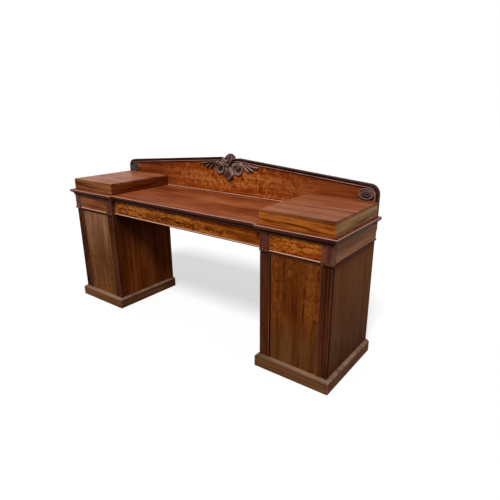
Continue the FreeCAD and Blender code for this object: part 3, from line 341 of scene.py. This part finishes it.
# Paler tones on the upper part of the left door: a painted reflection.
pale_door_mahogany = timber(
    "faded_ribbon_mahogany_door_french_polished", UPRIGHT, ("#3e1d08", "#5e3414", "#7a4a22"), stripe=26, fleck=0.5,
    turns=("z", 0.36, 0.64, ("#5c3220", "#7e5036", "#a07354")), rough=0.28, wear_and_highlight=0.1)
head_mahogany = timber(
    "plain_mahogany_head_rail_polished", LENGTHWISE, ("#56280f", "#7c4420", "#965e38"), stripe=12, wear_and_highlight=0.1,
    wax_and_shade=0.2, wax_and_shade_reach=6)

# Plain waxed sides: quiet, wide, upright stripes with hardly a shine. Outer ones are painted darker towards the
# floor, and those of the kneehole towards the frieze: painted shade.
side_mahogany = timber(
    "plain_mahogany_side_waxed", UPRIGHT, ("#522a14", "#7a4826", "#8c5e3a"), stripe=36, contrast=0.55, fleck=0.2,
    turns=("z", 0.62, 0.12, ("#3a1a0a", "#542d14", "#643f22")), rough=0.45, gloss=0.006)
inner_side_mahogany = timber(
    "plain_mahogany_kneehole_side_waxed", UPRIGHT, ("#471a06", "#6e3210", "#8a4a22"), stripe=36, fleck=0.2,
    turns=("z", 0.40, 0.68, ("#260d03", "#3e1a08", "#522a14")), rough=0.36, gloss=0.008)

# Waxed box walls and frieze ends: level stripes, bold and orange on the right box's front, browner and finer on the
# left one's. The right box's other walls are painted pale olive, a painted sheen, and the left one's are red. The
# frieze's ends are painted pale, a painted sheen.
left_box_mahogany = timber(
    "faded_mahogany_box_waxed", LEVEL, ("#4a1f0c", "#784022", "#996038"), stripe=9, contrast=1.8, show=FRONT,
    edge_tones=("#4a1a0a", "#6b2a10", "#80401c"), rough=0.34, gloss=0.01)
# The right box's side and other walls take pale olive tones: a painted sheen.
box_mahogany = timber(
    "striped_mahogany_box_waxed", LEVEL, ("#4a1a04", "#8f4513", "#ae6526"), stripe=15, contrast=2.3, show=FRONT,
    edge_tones=("#74502e", "#9e6e3e", "#b28656"), rough=0.34)
# The frieze ends' pale tones: a painted sheen.
end_mahogany = timber(
    "plain_mahogany_end_waxed", LEVEL, ("#7e523a", "#b07854", "#c69870"), stripe=20, contrast=0.7, rough=0.38,
    gloss=0.01)

# Run mouldings, stained dark and polished: nearly black in the hollows, darkened there with old wax and painted
# shade, with a pale pink line wherever a hand or a cloth has rubbed an arris or a bead, which is also a painted
# highlight. The cavetto takes paler tones on the sideboard's ends.
cavetto_mahogany = timber(
    "dark_mahogany_cavetto_polished", LEVEL, ("#5a3428", "#86604c", "#a07c68"), wear_and_highlight_tone=PINK_WORN_AND_HIGHLIGHT, stripe=12, show=ENDS,
    edge_tones=MOULDING_TONES, rough=0.35, gloss=0.004, wear_and_highlight=0.7, wear_and_highlight_reach=3.5)
moulding_mahogany = timber(
    "dark_mahogany_moulding_polished", LEVEL, MOULDING_TONES, wear_and_highlight_tone=PINK_WORN_AND_HIGHLIGHT, stripe=12, rough=0.35, gloss=0.004,
    wear_and_highlight=0.7, wear_and_highlight_reach=3.5)
# The bead's front is painted pale as a highlight, and the cushion and the rail's other faces take near-black tones.
rail_mahogany = timber(
    "dark_mahogany_rail_with_painted_bead_highlight", LEVEL, ("#6e463c", "#9a7062", "#b48c80"), stripe=12,
    turns=("y", BOARD_FACE - RAIL_BEAD, BOARD_FACE - RAIL_BEAD - RAIL_BEAD_EDGE, DARK_TONES), show=FRONT,
    edge_tones=DARK_TONES, rough=0.35, gloss=0.01, wear_and_highlight=0.1, wax_and_shade=0.5, wax_and_shade_reach=4)
# Drawer lips and the gallery's foot bead: their upper faces are painted pale as a highlight, and their noses are
# rubbed and painted paler still.
highlit_bead_mahogany = timber(
    "rubbed_mahogany_bead_with_painted_highlight", LEVEL, ("#86523a", "#ac7658", "#c29070"), wear_and_highlight_tone="#c8a08a", stripe=12, show=TOP,
    edge_tones=MOULDING_TONES, arris_rub_and_highlight=0.9, rough=0.4, gloss=0.004)

# Stiles, posts and blocks, stained dark and polished: red-brown wood with beads and arrises rubbed and painted with
# highlights, paler on the outer blocks.
stile_mahogany = timber(
    "dark_mahogany_stile_polished", UPRIGHT, ("#280e05", "#48200c", "#5e2e18"), wear_and_highlight_tone="#a06c58", stripe=12, rough=0.4,
    gloss=0.002, wear_and_highlight=0.6, wear_and_highlight_reach=5)
block_mahogany = timber(
    "dark_mahogany_block_polished", UPRIGHT, ("#34170e", "#562b1d", "#6e4130"), wear_and_highlight_tone=PINK_WORN_AND_HIGHLIGHT, stripe=12,
    contrast=0.8, turns=("x", 0.8, 0.95, ("#44221a", "#6e4030", "#8a5a46")), wear_and_highlight=0.6)

# Skirting scuffed by brooms and shoes: dull brown, turning paler and greyer at the ledge's height.
plinth_mahogany = timber(
    "mahogany_skirting_scuffed", LEVEL, ("#47240f", "#664026", "#7c5438"), wear_and_highlight_tone="#94745c", stripe=18,
    turns=("z", 0.062, 0.067, ("#503828", "#745a48", "#8a7060")), rough=0.45, gloss=0.008, wear_and_highlight=0.5)

# Carved and turned work, stained dark and polished: purple-black ground, soft glints on round forms, ridges rubbed
# to bare pinkish wood and painted pale as highlights, and hollows painted near black with wax and shade. The
# palmette's leaf is paler than its bud.
carved_mahogany = timber(
    "carved_mahogany_volutes_polished", LENGTHWISE, CARVED_TONES, wear_and_highlight_tone=CARVED_WORN_AND_HIGHLIGHT, stripe=10, rough=0.25, gloss=0.12,
    wear_and_highlight=0.85, wax_and_shade=0.85, wax_and_shade_reach=10, ridges=(0.522, 0.58))
palmette_mahogany = timber(
    "carved_mahogany_palmette_polished", LENGTHWISE, CARVED_TONES, wear_and_highlight_tone=CARVED_WORN_AND_HIGHLIGHT, stripe=10,
    turns=("z", 1.075, 1.06, ("#2a1511", "#50342e", "#6a4d46")), rough=0.25, gloss=0.12, wear_and_highlight=0.85, wax_and_shade=0.75,
    wax_and_shade_reach=10, ridges=(0.518, 0.57))
turned_mahogany = timber(
    "turned_mahogany_roundel_polished", LENGTHWISE, ("#180a09", "#2e1b19", "#46302c"), wear_and_highlight_tone=CARVED_WORN_AND_HIGHLIGHT, stripe=10,
    rough=0.25, gloss=0.12, wear_and_highlight=0.62, wax_and_shade=0.9, wax_and_shade_reach=8, ridges=(0.515, 0.58))
frond_mahogany = timber(
    "carved_mahogany_fronds_polished", LENGTHWISE, ("#34180f", "#5e3a32", "#7c5a50"), wear_and_highlight_tone="#c4a196", stripe=10,
    rough=0.25, gloss=0.1, wear_and_highlight=0.8, wax_and_shade=0.98, wax_and_shade_reach=14, ridges=(0.515, 0.57))

# Planed pine left bare inside and behind: dry, matt and browned, with fine close stripes.
inner_pine = timber(
    "planed_pine_bare", LEVEL, ("#74492a", "#a67045", "#c39465"), wear_and_highlight_tone="#c8a478", stripe=9, rough=0.62, wear_and_highlight=0.1,
    wax_and_shade=0.5)

# Filed brass gone brown where nothing rubs it, and turned steel dulled to grey.
brass = metal("filed_brass_tarnished", "#5d431f", "#b38b48", rough=0.3)
screw_steel = metal("turned_screw_steel_oxidised", "#2c2826", "#6a6560", rough=0.4)

# The pieces that each finish goes on.
FINISHES = {
    gallery_veneer: ["gallery_board"],
    drawer_veneer: ["centre_drawer_front"],
    bright_veneer: ["right_drawer_front"],
    plain_veneer: ["left_drawer_front"],
    top_mahogany: ["top_board"],
    lid_mahogany: ["box_lids"],
    pale_door_mahogany: ["left_door"],
    door_mahogany: ["right_door"],
    side_mahogany: [f"{side}_pedestal_outer_side" for side in SIDES],
    inner_side_mahogany: [f"{side}_pedestal_inner_side" for side in SIDES],
    left_box_mahogany: ["left_box_walls"],
    box_mahogany: ["right_box_walls"],
    end_mahogany: [f"{side}_frieze_end" for side in SIDES],
    cavetto_mahogany: ["top_moulding"],
    moulding_mahogany: ["frieze_end_beads", "roundel_beads"],
    head_mahogany: ["door_head_rails"],
    rail_mahogany: [f"{side}_gallery_rail" for side in SIDES],
    highlit_bead_mahogany: [f"{name}_drawer_lip" for name in DRAWERS],
    stile_mahogany: [f"{side}_pilasters" for side in SIDES],
    block_mahogany: ["frieze_posts", "frieze_blocks"],
    plinth_mahogany: [f"{side}_plinth" for side in SIDES],
    inner_pine: ["pedestal_backs", "pedestal_bottoms", "pedestal_tops", "pedestal_shelves", "shelf_cleats",
                 "plinth_rails", "frieze_dust_board", "frieze_back", "frieze_dividers", "drawer_guides",
                 "drawer_stops", "case_tops"] + [f"{name}_drawer_linings" for name in DRAWERS],
    brass: ["pivot_sockets"] + [f"{side}_{part}" for side in SIDES
                                for part in ("door_pivots", "lock_case", "lock_bolt")],
    screw_steel: ["gallery_screws"],
}

# Boards have their arrises eased with a stroke of the plane. Moulded lengths keep their own profile, and boards that
# meet in one node keep their crisp joints.
EASED = 1.0 * MM
EASED_FROM = math.radians(40)
WELDED = 0.01 * MM
KEPT_CRISP = ["top_board", "gallery_board", "top_moulding", "gallery_screws", "case_tops"]
KEPT_CRISP += [f"{side}_{part}" for side in SIDES for part in ("gallery_rail", "pilasters", "plinth", "box_walls")]
KEPT_CRISP += [f"{name}_drawer_linings" for name in DRAWERS]

# Faces that meet at more than this are shown with a sharp edge between them.
SHARP_FROM = math.radians(20)
flat_faces = bpy.data.node_groups.new("flat_faces", "GeometryNodeTree")
flat_faces.interface.new_socket("Mesh", in_out="INPUT", socket_type="NodeSocketGeometry")
flat_faces.interface.new_socket("Mesh", in_out="OUTPUT", socket_type="NodeSocketGeometry")
given = add_node(flat_faces, "NodeGroupInput").outputs[0]
angle = add_node(flat_faces, "GeometryNodeInputMeshEdgeAngle").outputs[0]
sharp = add_node(flat_faces, "FunctionNodeCompare", {0: angle, 1: SHARP_FROM}, data_type="FLOAT",
                 operation="GREATER_THAN").outputs[0]
shaded = add_node(flat_faces, "GeometryNodeSetMeshNormal", {
    "Mesh": given, "Remove Custom": True, "Edge Sharpness": sharp}).outputs[0]
add_node(flat_faces, "NodeGroupOutput", {0: shaded})

for material, names in FINISHES.items():
    for name in names:
        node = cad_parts[name]
        node.data.materials.clear()
        node.data.materials.append(material)
        if name not in KEPT_CRISP:
            node.modifiers.new("weld", "WELD").merge_threshold = WELDED
            ease = node.modifiers.new("eased_edges", "BEVEL")
            ease.width = EASED
            ease.segments = 2
            ease.limit_method = "ANGLE"
            ease.angle_limit = EASED_FROM
            ease.use_clamp_overlap = False
            node.modifiers.new("flat_faces", "NODES").node_group = flat_faces


# Carving. Each form lies on the gallery's face, stands forward of it by its height and is closed behind. A section is
# given from edge to edge, as shares of the half width and of the height.
HALF_ROUND = ((-0.96, 0.4), (-0.8, 0.68), (-0.5, 0.9), (0, 1), (0.5, 0.9), (0.8, 0.68), (0.96, 0.4))
RIDGED = ((-0.96, 0.2), (-0.7, 0.4), (-0.4, 0.6), (-0.16, 0.88), (0, 1), (0.16, 0.88), (0.4, 0.6), (0.7, 0.4),
          (0.96, 0.2))
CROWNED = ((-0.97, 0.5), (-0.85, 0.72), (-0.6, 0.9), (-0.3, 0.98), (0, 1), (0.3, 0.98), (0.6, 0.9), (0.85, 0.72),
           (0.97, 0.5))
RIB = ((-0.98, 0.14), (-0.7, 0.2), (-0.58, 0.5), (-0.42, 0.8), (-0.2, 0.97), (0, 1), (0.2, 0.97), (0.42, 0.8),
       (0.58, 0.5), (0.7, 0.2), (0.98, 0.14))

# A leaf's tip is rounded to just past its end, where a little width is left so that it closes, and it is half as high
# there.
TIP_END = 1.005
TIP_LEFT = 0.002
TIP_HEIGHT = 0.5
BOSS_SEGMENTS = 56


def mix(start, end, share):
    """The value that lies this share of the way from start to end."""
    return start + (end - start) * share


def crest_point(side, x, z):
    """A point of the crest given in millimetres, on one side of the middle."""
    return side * x * MM, z * MM


def bend_through(start, middle, end, steps):
    """Points of a smooth bend from start to end that leans towards middle, as (x, z)."""
    points = []
    for step in range(steps + 1):
        t = step / steps
        points.append(tuple(mix(mix(a, b, t), mix(b, c, t), t) for a, b, c in zip(start, middle, end)))
    return points


def carve_band(shape, path, half_widths, heights, section, closed=False):
    """Adds a carved strip of this section along path, whose points are (x, z), with its half width and height at each
    point."""
    count = len(path)
    rows = []
    for index, (x, z) in enumerate(path):
        before = path[index - 1] if closed or index else path[0]
        after = path[(index + 1) % count] if closed or index + 1 < count else path[-1]
        run = math.hypot(after[0] - before[0], after[1] - before[1])
        aside = ((before[1] - after[1]) / run, (after[0] - before[0]) / run)
        rows.append([shape.verts.new((x + aside[0] * half_widths[index] * share, BOARD_FACE - heights[index] * rise,
                                      z + aside[1] * half_widths[index] * share))
                     for share, rise in ((-1, 0), *section, (1, 0))])
    pairs = list(zip(rows, rows[1:]))
    if closed:
        pairs.append((rows[-1], rows[0]))
    else:
        shape.faces.new(rows[0])
        shape.faces.new(reversed(rows[-1]))
    for row, following in pairs:
        for index in range(len(row)):
            shape.faces.new((row[index - 1], row[index], following[index], following[index - 1]))


def carve_leaf(shape, spine, half_width, height, root_share=0.5, blunt_from=0.72, section=RIDGED):
    """Adds a leaf along spine that is narrow at its root and rounded at its tip."""
    last = len(spine) - 1
    widths, heights = [], []
    for step in range(last + 1):
        share = step / last
        blunt = math.sqrt(max(1 - max((share - blunt_from) / (TIP_END - blunt_from), 0) ** 2, TIP_LEFT))
        widths.append(half_width * mix(root_share, 1, min(share / blunt_from, 1)) * blunt)
        heights.append(height * mix(TIP_HEIGHT, 1, blunt))
    carve_band(shape, spine, widths, heights, section)


def carve_boss(shape, centre, radii, height, profile):
    """Adds a carved boss. profile goes from the rim to the middle as shares of the radii and of the height."""
    rings = []
    for share, rise in ((profile[0][0], 0), *profile[:-1]):
        ring = []
        for segment in range(BOSS_SEGMENTS):
            angle = math.tau * segment / BOSS_SEGMENTS
            x = centre[0] + radii[0] * share * math.cos(angle)
            z = centre[1] + radii[1] * share * math.sin(angle)
            ring.append(shape.verts.new((x, BOARD_FACE - height * rise, z)))
        rings.append(ring)
    middle = shape.verts.new((centre[0], BOARD_FACE - height * profile[-1][1], centre[1]))
    shape.faces.new(rings[0])
    for ring, following in zip(rings, rings[1:]):
        for index in range(BOSS_SEGMENTS):
            shape.faces.new((ring[index - 1], ring[index], following[index], following[index - 1]))
    for index in range(BOSS_SEGMENTS):
        shape.faces.new((rings[-1][index - 1], rings[-1][index], middle))


def finished(name, shape, material, node=None):
    """Finishes a piece: smooth faces turned outwards, its material, and the CAD node that it stands for."""
    bmesh.ops.recalc_face_normals(shape, faces=shape.faces)
    for face in shape.faces:
        face.smooth = True
    mesh = bpy.data.meshes.new(name)
    shape.to_mesh(mesh)
    shape.free()
    mesh.materials.append(material)
    piece = bpy.data.objects.new(name, mesh)
    bpy.context.scene.collection.objects.link(piece)
    piece.modifiers.new("flat_faces", "NODES").node_group = flat_faces
    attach(piece, "carcass")
    if node:
        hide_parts(node)


# Roundels at the gallery's ends: a raised rim, a domed field and a button in a sunk ring. A low ground fills the
# corner between each of them, the rail and the lid below.
roundel_low, roundel_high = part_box("gallery_roundels")
ROUNDEL_HEIGHT = BOARD_FACE - roundel_low.y
ROUNDEL_RADII = (49 * MM, (roundel_high.z - roundel_low.z) / 2)
ROUNDEL_X = roundel_high.x - ROUNDEL_RADII[0]
ROUNDEL_Z = (roundel_high.z + roundel_low.z) / 2
RIM = 4.5 * MM
RIM_HEIGHT = ROUNDEL_HEIGHT * 0.95
RIM_STEPS = 72
DOME_SHARE = 0.73
FIELD = ((1, 0.35), (0.6, 0.3), (0, 0.3))
DOME_AND_BUTTON = ((1, 0.2), (0.95, 0.45), (0.84, 0.68), (0.66, 0.86), (0.45, 0.95), (0.38, 0.93), (0.33, 0.8),
                   (0.27, 0.62), (0.22, 0.62), (0.19, 0.8), (0.13, 0.96), (0.06, 1), (0, 1))
RAIL_COVERS = 22 * MM
CORNER_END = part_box("right_gallery_rail")[1].x - RAIL_COVERS
CORNER_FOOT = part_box("box_lids")[1].z
CORNER_X = (ROUNDEL_X + CORNER_END) / 2
CORNER_HALF_WIDTH = (CORNER_END - ROUNDEL_X) / 2
CORNER_HEIGHT = 2.5 * MM
CORNER_STEPS = 16
roundels = bmesh.new()
for side in (-1, 1):
    centre = (side * ROUNDEL_X, ROUNDEL_Z)
    ground = [(side * CORNER_X, mix(CORNER_FOOT, ROUNDEL_Z, step / CORNER_STEPS)) for step in range(CORNER_STEPS + 1)]
    carve_band(roundels, ground, [CORNER_HALF_WIDTH] * len(ground), [CORNER_HEIGHT] * len(ground), CROWNED)
    carve_boss(roundels, centre, [radius - RIM / 2 for radius in ROUNDEL_RADII], ROUNDEL_HEIGHT, FIELD)
    rim_path = []
    for step in range(RIM_STEPS):
        angle = math.tau * step / RIM_STEPS
        rim_path.append((centre[0] + (ROUNDEL_RADII[0] - RIM) * math.cos(angle),
                         centre[1] + (ROUNDEL_RADII[1] - RIM) * math.sin(angle)))
    carve_band(roundels, rim_path, [RIM] * RIM_STEPS, [RIM_HEIGHT] * RIM_STEPS, HALF_ROUND, closed=True)
    carve_boss(roundels, centre, [radius * DOME_SHARE for radius in ROUNDEL_RADII], ROUNDEL_HEIGHT, DOME_AND_BUTTON)
finished("carved_roundels", roundels, turned_mahogany, "gallery_roundels")

# Volutes: a ring that swells where it leaves the rail, sinks under the rail's end and winds in to an eye set high in
# the sunk dish. The last part of its turn winds in.
scroll_low, scroll_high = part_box("crest_scrolls")
SCROLL_RADIUS = (scroll_high.z - scroll_low.z) / 2
SCROLL_X = scroll_high.x - SCROLL_RADIUS
SCROLL_Z = (scroll_high.z + scroll_low.z) / 2
EYE_HEIGHT = BOARD_FACE - scroll_low.y
EYE_LIFT = 15 * MM
EYE_RADIUS = 20 * MM
COIL_RADIUS = 26 * MM
COIL_HALF_WIDTH = 4 * MM
COIL_TURN = math.radians(400)
COIL_STEPS = 90
WINDS_FROM = 0.6
WIND_CURVE = 0.8
RING_HALF_WIDTH = 4.5 * MM
RING_HEIGHT = 15 * MM
SWELL_AT = math.radians(125)
SWELL_FADE = 3
SWELL_RISE = 0.2
DISH_RADIUS = SCROLL_RADIUS - RING_HALF_WIDTH
DISH_HEIGHT = 6 * MM
BUTTON = ((1, 0.5), (0.96, 0.72), (0.85, 0.88), (0.68, 0.98), (0.5, 1), (0.4, 0.97), (0.32, 0.86), (0.24, 0.86),
          (0.1, 0.92), (0, 0.93))
scrolls = bmesh.new()
for side in (-1, 1):
    carve_boss(scrolls, (side * SCROLL_X, SCROLL_Z), (DISH_RADIUS, DISH_RADIUS), DISH_HEIGHT, FIELD)
    winding, widths, heights = [], [], []
    for step in range(COIL_STEPS + 1):
        share = step / COIL_STEPS
        angle = SWELL_AT + COIL_TURN * share
        swell = max(math.cos(angle - SWELL_AT), 0) ** 2 * max(1 - SWELL_FADE * share, 0)
        half_width = mix(RING_HALF_WIDTH, COIL_HALF_WIDTH, share) * (1 + swell)
        wound_in = max((share - WINDS_FROM) / (1 - WINDS_FROM), 0) ** WIND_CURVE
        reach = mix(SCROLL_RADIUS, COIL_RADIUS, wound_in) - half_width
        winding.append((side * (SCROLL_X + reach * math.cos(angle)),
                        SCROLL_Z + EYE_LIFT * wound_in + reach * math.sin(angle)))
        widths.append(half_width)
        heights.append(mix(RING_HEIGHT, EYE_HEIGHT, wound_in) * (1 + SWELL_RISE * swell))
    carve_band(scrolls, winding, widths, heights, HALF_ROUND)
    carve_boss(scrolls, (side * SCROLL_X, SCROLL_Z + EYE_LIFT), (EYE_RADIUS, EYE_RADIUS), EYE_HEIGHT, BUTTON)
finished("carved_volutes", scrolls, carved_mahogany, "crest_scrolls")

# Fronds: three bold ribs a side that leave the rail and fan out and down, each on a low ground that closes the valley
# to the next. Each has its root, the point that its bend leans towards and its tip, in millimetres. One more ground
# fills the gap between the first rib and the volute.
FRONDS = (
    ((124, 1098), (146, 1072), (177, 1047)),
    ((150, 1098), (180, 1070), (217, 1057)),
    ((178, 1096), (208, 1079), (260, 1083)),
)
FROND_STEPS = 32
FROND_HALF_WIDTH = 15 * MM
FROND_HEIGHT = 18 * MM
GAP = ((94, 1096), (126, 1084))
GAP_HALF_WIDTH = 13 * MM
GAP_HEIGHT = 7 * MM
wings = bmesh.new()
for side in (-1, 1):
    for points in FRONDS:
        spine = bend_through(*[crest_point(side, x, z) for x, z in points], FROND_STEPS)
        carve_leaf(wings, spine, FROND_HALF_WIDTH, FROND_HEIGHT, section=RIB)
    carve_band(wings, [crest_point(side, x, z) for x, z in GAP], [GAP_HALF_WIDTH] * 2, [GAP_HEIGHT] * 2, CROWNED)
finished("carved_fronds", wings, frond_mahogany, "crest_wings")

# Palmette: a petalled bud in a V-shaped collar, a rounded calyx with a lip, and a leaf with a scalloped end.
palmette_low, palmette_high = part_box("crest_palmette")
BUD_RADIUS = 43 * MM
BUD_ROOT = 22 * MM
BUD_HALF_WIDTH = 46 * MM
BUD_DEPTH = 41 * MM
BUD_Y = BOARD_BACK - 4 * MM
BUD_Z = palmette_high.z - BUD_RADIUS
BUD_RINGS = 28
BUD_SEGMENTS = 120
PETALS = 8
PETAL_CUT = 0.22
LET_IN = 18 * MM
LEFT_BEHIND = 0.5 * MM


def bud_point(level, turn):
    """A point of the bud, by its level from -1 at the root to 1 at the tip and its turn from the front. Petals run up
    it with a sharp cut between two. It is flat behind and let into the board's top edge, and lower down it stops at
    the board's face."""
    reach = math.sqrt(max(1 - level * level, 0))
    reach *= 1 - PETAL_CUT * (1 - abs(math.cos(PETALS * turn / 2)))
    z = BUD_Z + (BUD_RADIUS if level > 0 else BUD_ROOT) * level
    y = BUD_Y - BUD_DEPTH * reach * math.cos(turn)
    if z > BOARD_TOP:
        back = BOARD_BACK
    elif z > BOARD_TOP - LET_IN:
        back = BOARD_BACK - LEFT_BEHIND
    else:
        back = BOARD_FACE
    return BUD_HALF_WIDTH * reach * math.sin(turn), min(y, back), z


palmette = bmesh.new()
bud_rings = []
for ring in range(1, BUD_RINGS):
    level = -math.cos(math.pi * ring / BUD_RINGS)
    bud_rings.append([palmette.verts.new(bud_point(level, math.tau * segment / BUD_SEGMENTS))
                      for segment in range(BUD_SEGMENTS)])
root, tip = (palmette.verts.new(bud_point(level, 0)) for level in (-1, 1))
for index in range(BUD_SEGMENTS):
    palmette.faces.new((bud_rings[0][index - 1], bud_rings[0][index], root))
    palmette.faces.new((bud_rings[-1][index - 1], bud_rings[-1][index], tip))
    for ring, following in zip(bud_rings, bud_rings[1:]):
        palmette.faces.new((ring[index - 1], ring[index], following[index], following[index - 1]))

# Collar and flanks of the calyx, in millimetres. The collar rises towards its point.
COLLAR = ((41, 1130), (19, 1121), (0, 1106))
COLLAR_HEIGHTS = (22, 37)
COLLAR_HALF_WIDTH = 3.5 * MM
FLANK = ((12, 1092), (37, 1100), (43, 1133))
FLANK_HALF_WIDTH = 12 * MM
FLANK_HEIGHT = 30 * MM
CALYX_STEPS = 20
CALYX_Z = 1103
CALYX_RADII = (31 * MM, 18 * MM)
CALYX_HEIGHT = 27 * MM
CALYX_DOME = ((1, 0.45), (0.97, 0.62), (0.9, 0.76), (0.76, 0.88), (0.56, 0.96), (0.3, 0.99), (0, 1))
LIP = (14, 1085)
LIP_HALF_WIDTH = 3.5 * MM
LIP_HEIGHT = 33 * MM
for side in (-1, 1):
    collar = bend_through(*[crest_point(side, x, z) for x, z in COLLAR], CALYX_STEPS)
    heights = [mix(*COLLAR_HEIGHTS, math.sin(math.pi / 2 * step / CALYX_STEPS)) * MM
               for step in range(CALYX_STEPS + 1)]
    carve_band(palmette, collar, [COLLAR_HALF_WIDTH] * len(collar), heights, HALF_ROUND)
    flank = bend_through(*[crest_point(side, x, z) for x, z in FLANK], CALYX_STEPS)
    carve_leaf(palmette, flank, FLANK_HALF_WIDTH, FLANK_HEIGHT)
carve_boss(palmette, crest_point(1, 0, CALYX_Z), CALYX_RADII, CALYX_HEIGHT, CALYX_DOME)

# A low ground joins the calyx to the volutes. It and the leaf have their level, half width and height at stations
# from the top down, in millimetres.
GROUND = ((1104, 30, 7), (1096, 40, 8), (1060, 42, 8), (1034, 38, 8), (1024, 30, 7))
LEAF = ((1082, 16, 9), (1074, 20, 12), (1064, 24, 17), (1050, 28, 20), (1036, 33, 20), (1022, 39, 19), (1013, 43, 18),
        (1007, 39, 17), (998, 28, 16), (988, 15, 14), (981, 6, 12))
for stations in (GROUND, LEAF):
    carve_band(palmette, [(0, level * MM) for level, _, _ in stations], [half * MM for _, half, _ in stations],
               [height * MM for _, _, height in stations], CROWNED)
lip = [crest_point(side, *LIP) for side in (-1, 1)]
carve_band(palmette, lip, [LIP_HALF_WIDTH] * 2, [LIP_HEIGHT] * 2, HALF_ROUND)

# Scallops stand square to the leaf's two straight edges, which meet at its tip, and one stands upright there.
LEAF_TIP = palmette_low.z + 7 * MM
LEAF_CORNER = (47 * MM, 1011 * MM)
SCALLOPS = 4
FIRST_SCALLOP = 0.3
SCALLOP_STEPS = 16
SCALLOP_HALF_WIDTH = 6 * MM
SCALLOP_LENGTH = 15 * MM
SCALLOP_HEIGHT = 24 * MM
SCALLOP_ROOT = 0.3
POINT_LENGTH = 24 * MM
edge_length = math.hypot(LEAF_CORNER[0], LEAF_CORNER[1] - LEAF_TIP)
outward = ((LEAF_CORNER[1] - LEAF_TIP) / edge_length, -LEAF_CORNER[0] / edge_length)
for side in (-1, 1):
    for index in range(SCALLOPS):
        share = (index + FIRST_SCALLOP) / (SCALLOPS + FIRST_SCALLOP)
        end = (mix(LEAF_CORNER[0], 0, share), mix(LEAF_CORNER[1], LEAF_TIP, share))
        spine = []
        for step in range(SCALLOP_STEPS + 1):
            back = SCALLOP_LENGTH * (1 - step / SCALLOP_STEPS)
            spine.append((side * (end[0] - outward[0] * back), end[1] - outward[1] * back))
        carve_leaf(palmette, spine, SCALLOP_HALF_WIDTH, SCALLOP_HEIGHT, root_share=SCALLOP_ROOT, blunt_from=0.6)
point = bend_through((0, LEAF_TIP + POINT_LENGTH), (0, LEAF_TIP + POINT_LENGTH / 2), (0, LEAF_TIP), SCALLOP_STEPS)
carve_leaf(palmette, point, SCALLOP_HALF_WIDTH, SCALLOP_HEIGHT, root_share=SCALLOP_ROOT, blunt_from=0.5)
finished("carved_palmette", palmette, palmette_mahogany, "crest_palmette")

# A thin bead closes the joint between the top and the gallery's foot, from box to box. Its upper face
# is painted pale, a painted highlight.
FOOT_BEAD = 6 * MM
bead_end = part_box("right_box_walls")[0].x
bead_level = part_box("top_board")[1].z + FOOT_BEAD / 2
foot_bead = bmesh.new()
carve_band(foot_bead, [(-bead_end, bead_level), (bead_end, bead_level)], [FOOT_BEAD / 2] * 2, [FOOT_BEAD] * 2,
           HALF_ROUND)
finished("gallery_foot_bead", foot_bead, highlit_bead_mahogany)


# Floor, light and camera.
FLOOR_REACH = 30
FLOOR_CORNERS = ((-1, -1), (1, -1), (1, 1), (-1, 1))
floor_shape = bmesh.new()
floor_shape.faces.new([floor_shape.verts.new((x * FLOOR_REACH, y * FLOOR_REACH, 0)) for x, y in FLOOR_CORNERS])
floor_mesh = bpy.data.meshes.new("studio_floor")
floor_shape.to_mesh(floor_mesh)
floor_shape.free()
floor = bpy.data.objects.new("studio_floor", floor_mesh)
bpy.context.scene.collection.objects.link(floor)


def seen_directly(tree):
    """One for what the camera sees straight, in a reflection or through glass, and nought for light on the wood."""
    path = add_node(tree, "ShaderNodeLightPath").outputs
    seen = add_node(tree, MATH, {0: path["Is Camera Ray"], 1: path["Is Glossy Ray"]}, operation="MAXIMUM")
    return add_node(tree, MATH, {0: seen, 1: path["Is Transmission Ray"]}, operation="MAXIMUM")


# Matt white paper: the eye sees it white with a soft shadow. To the light that it throws back at the wood it is a
# dull grey.
WHITE = "#ffffff"
PAPER_GLOW = 0.6
paper, tree = new_material("white_paper_floor")
shadowed = add_node(tree, "ShaderNodeBsdfDiffuse", {"Color": WHITE})
glow = add_node(tree, "ShaderNodeEmission", {"Color": WHITE, "Strength": 1.0})
shown = add_node(tree, "ShaderNodeMixShader", {0: PAPER_GLOW, 1: shadowed, 2: glow})
thrown = add_node(tree, "ShaderNodeBsdfDiffuse", {"Color": "#6e6a64"})
mixed = add_node(tree, "ShaderNodeMixShader", {0: seen_directly(tree), 1: thrown, 2: shown})
add_node(tree, SURFACE, {"Surface": mixed})
floor_mesh.materials.append(paper)

# A white studio all round, which lights the wood only softly.
SKY_LEVEL = 0.27
world = bpy.data.worlds.new("studio")
world.use_nodes = True
tree = world.node_tree
tree.nodes.clear()
level = add_node(tree, RANGE, {0: seen_directly(tree), 1: 0.0, 2: 1.0, 3: SKY_LEVEL, 4: 1.0})
sky = add_node(tree, "ShaderNodeBackground", {"Color": WHITE, "Strength": level})
add_node(tree, "ShaderNodeOutputWorld", {"Surface": sky})
bpy.context.scene.world = world

# One broad soft light from above, in front and a little to the right.
key = bpy.data.objects.new("key_light", bpy.data.lights.new("key_light", "SUN"))
key.data.energy = 3.2
key.data.angle = math.radians(16)
key.rotation_euler = (math.radians(37), 0, math.radians(20))
bpy.context.scene.collection.objects.link(key)

# The camera stands at the photograph's viewing angle, found by fitting it to points of the furniture.
camera = bpy.data.objects.new("camera", bpy.data.cameras.new("camera"))
camera.location = (1.9531, -2.076, 1.4804)
camera.rotation_euler = [math.radians(angle) for angle in (71.595, 0.172, 36.738)]
camera.data.sensor_width = 36
camera.data.lens = 30.852
camera.data.shift_x = -0.0036
camera.data.shift_y = -0.0041
bpy.context.scene.collection.objects.link(camera)
bpy.context.scene.camera = camera
bpy.context.scene.view_settings.view_transform = "Standard"
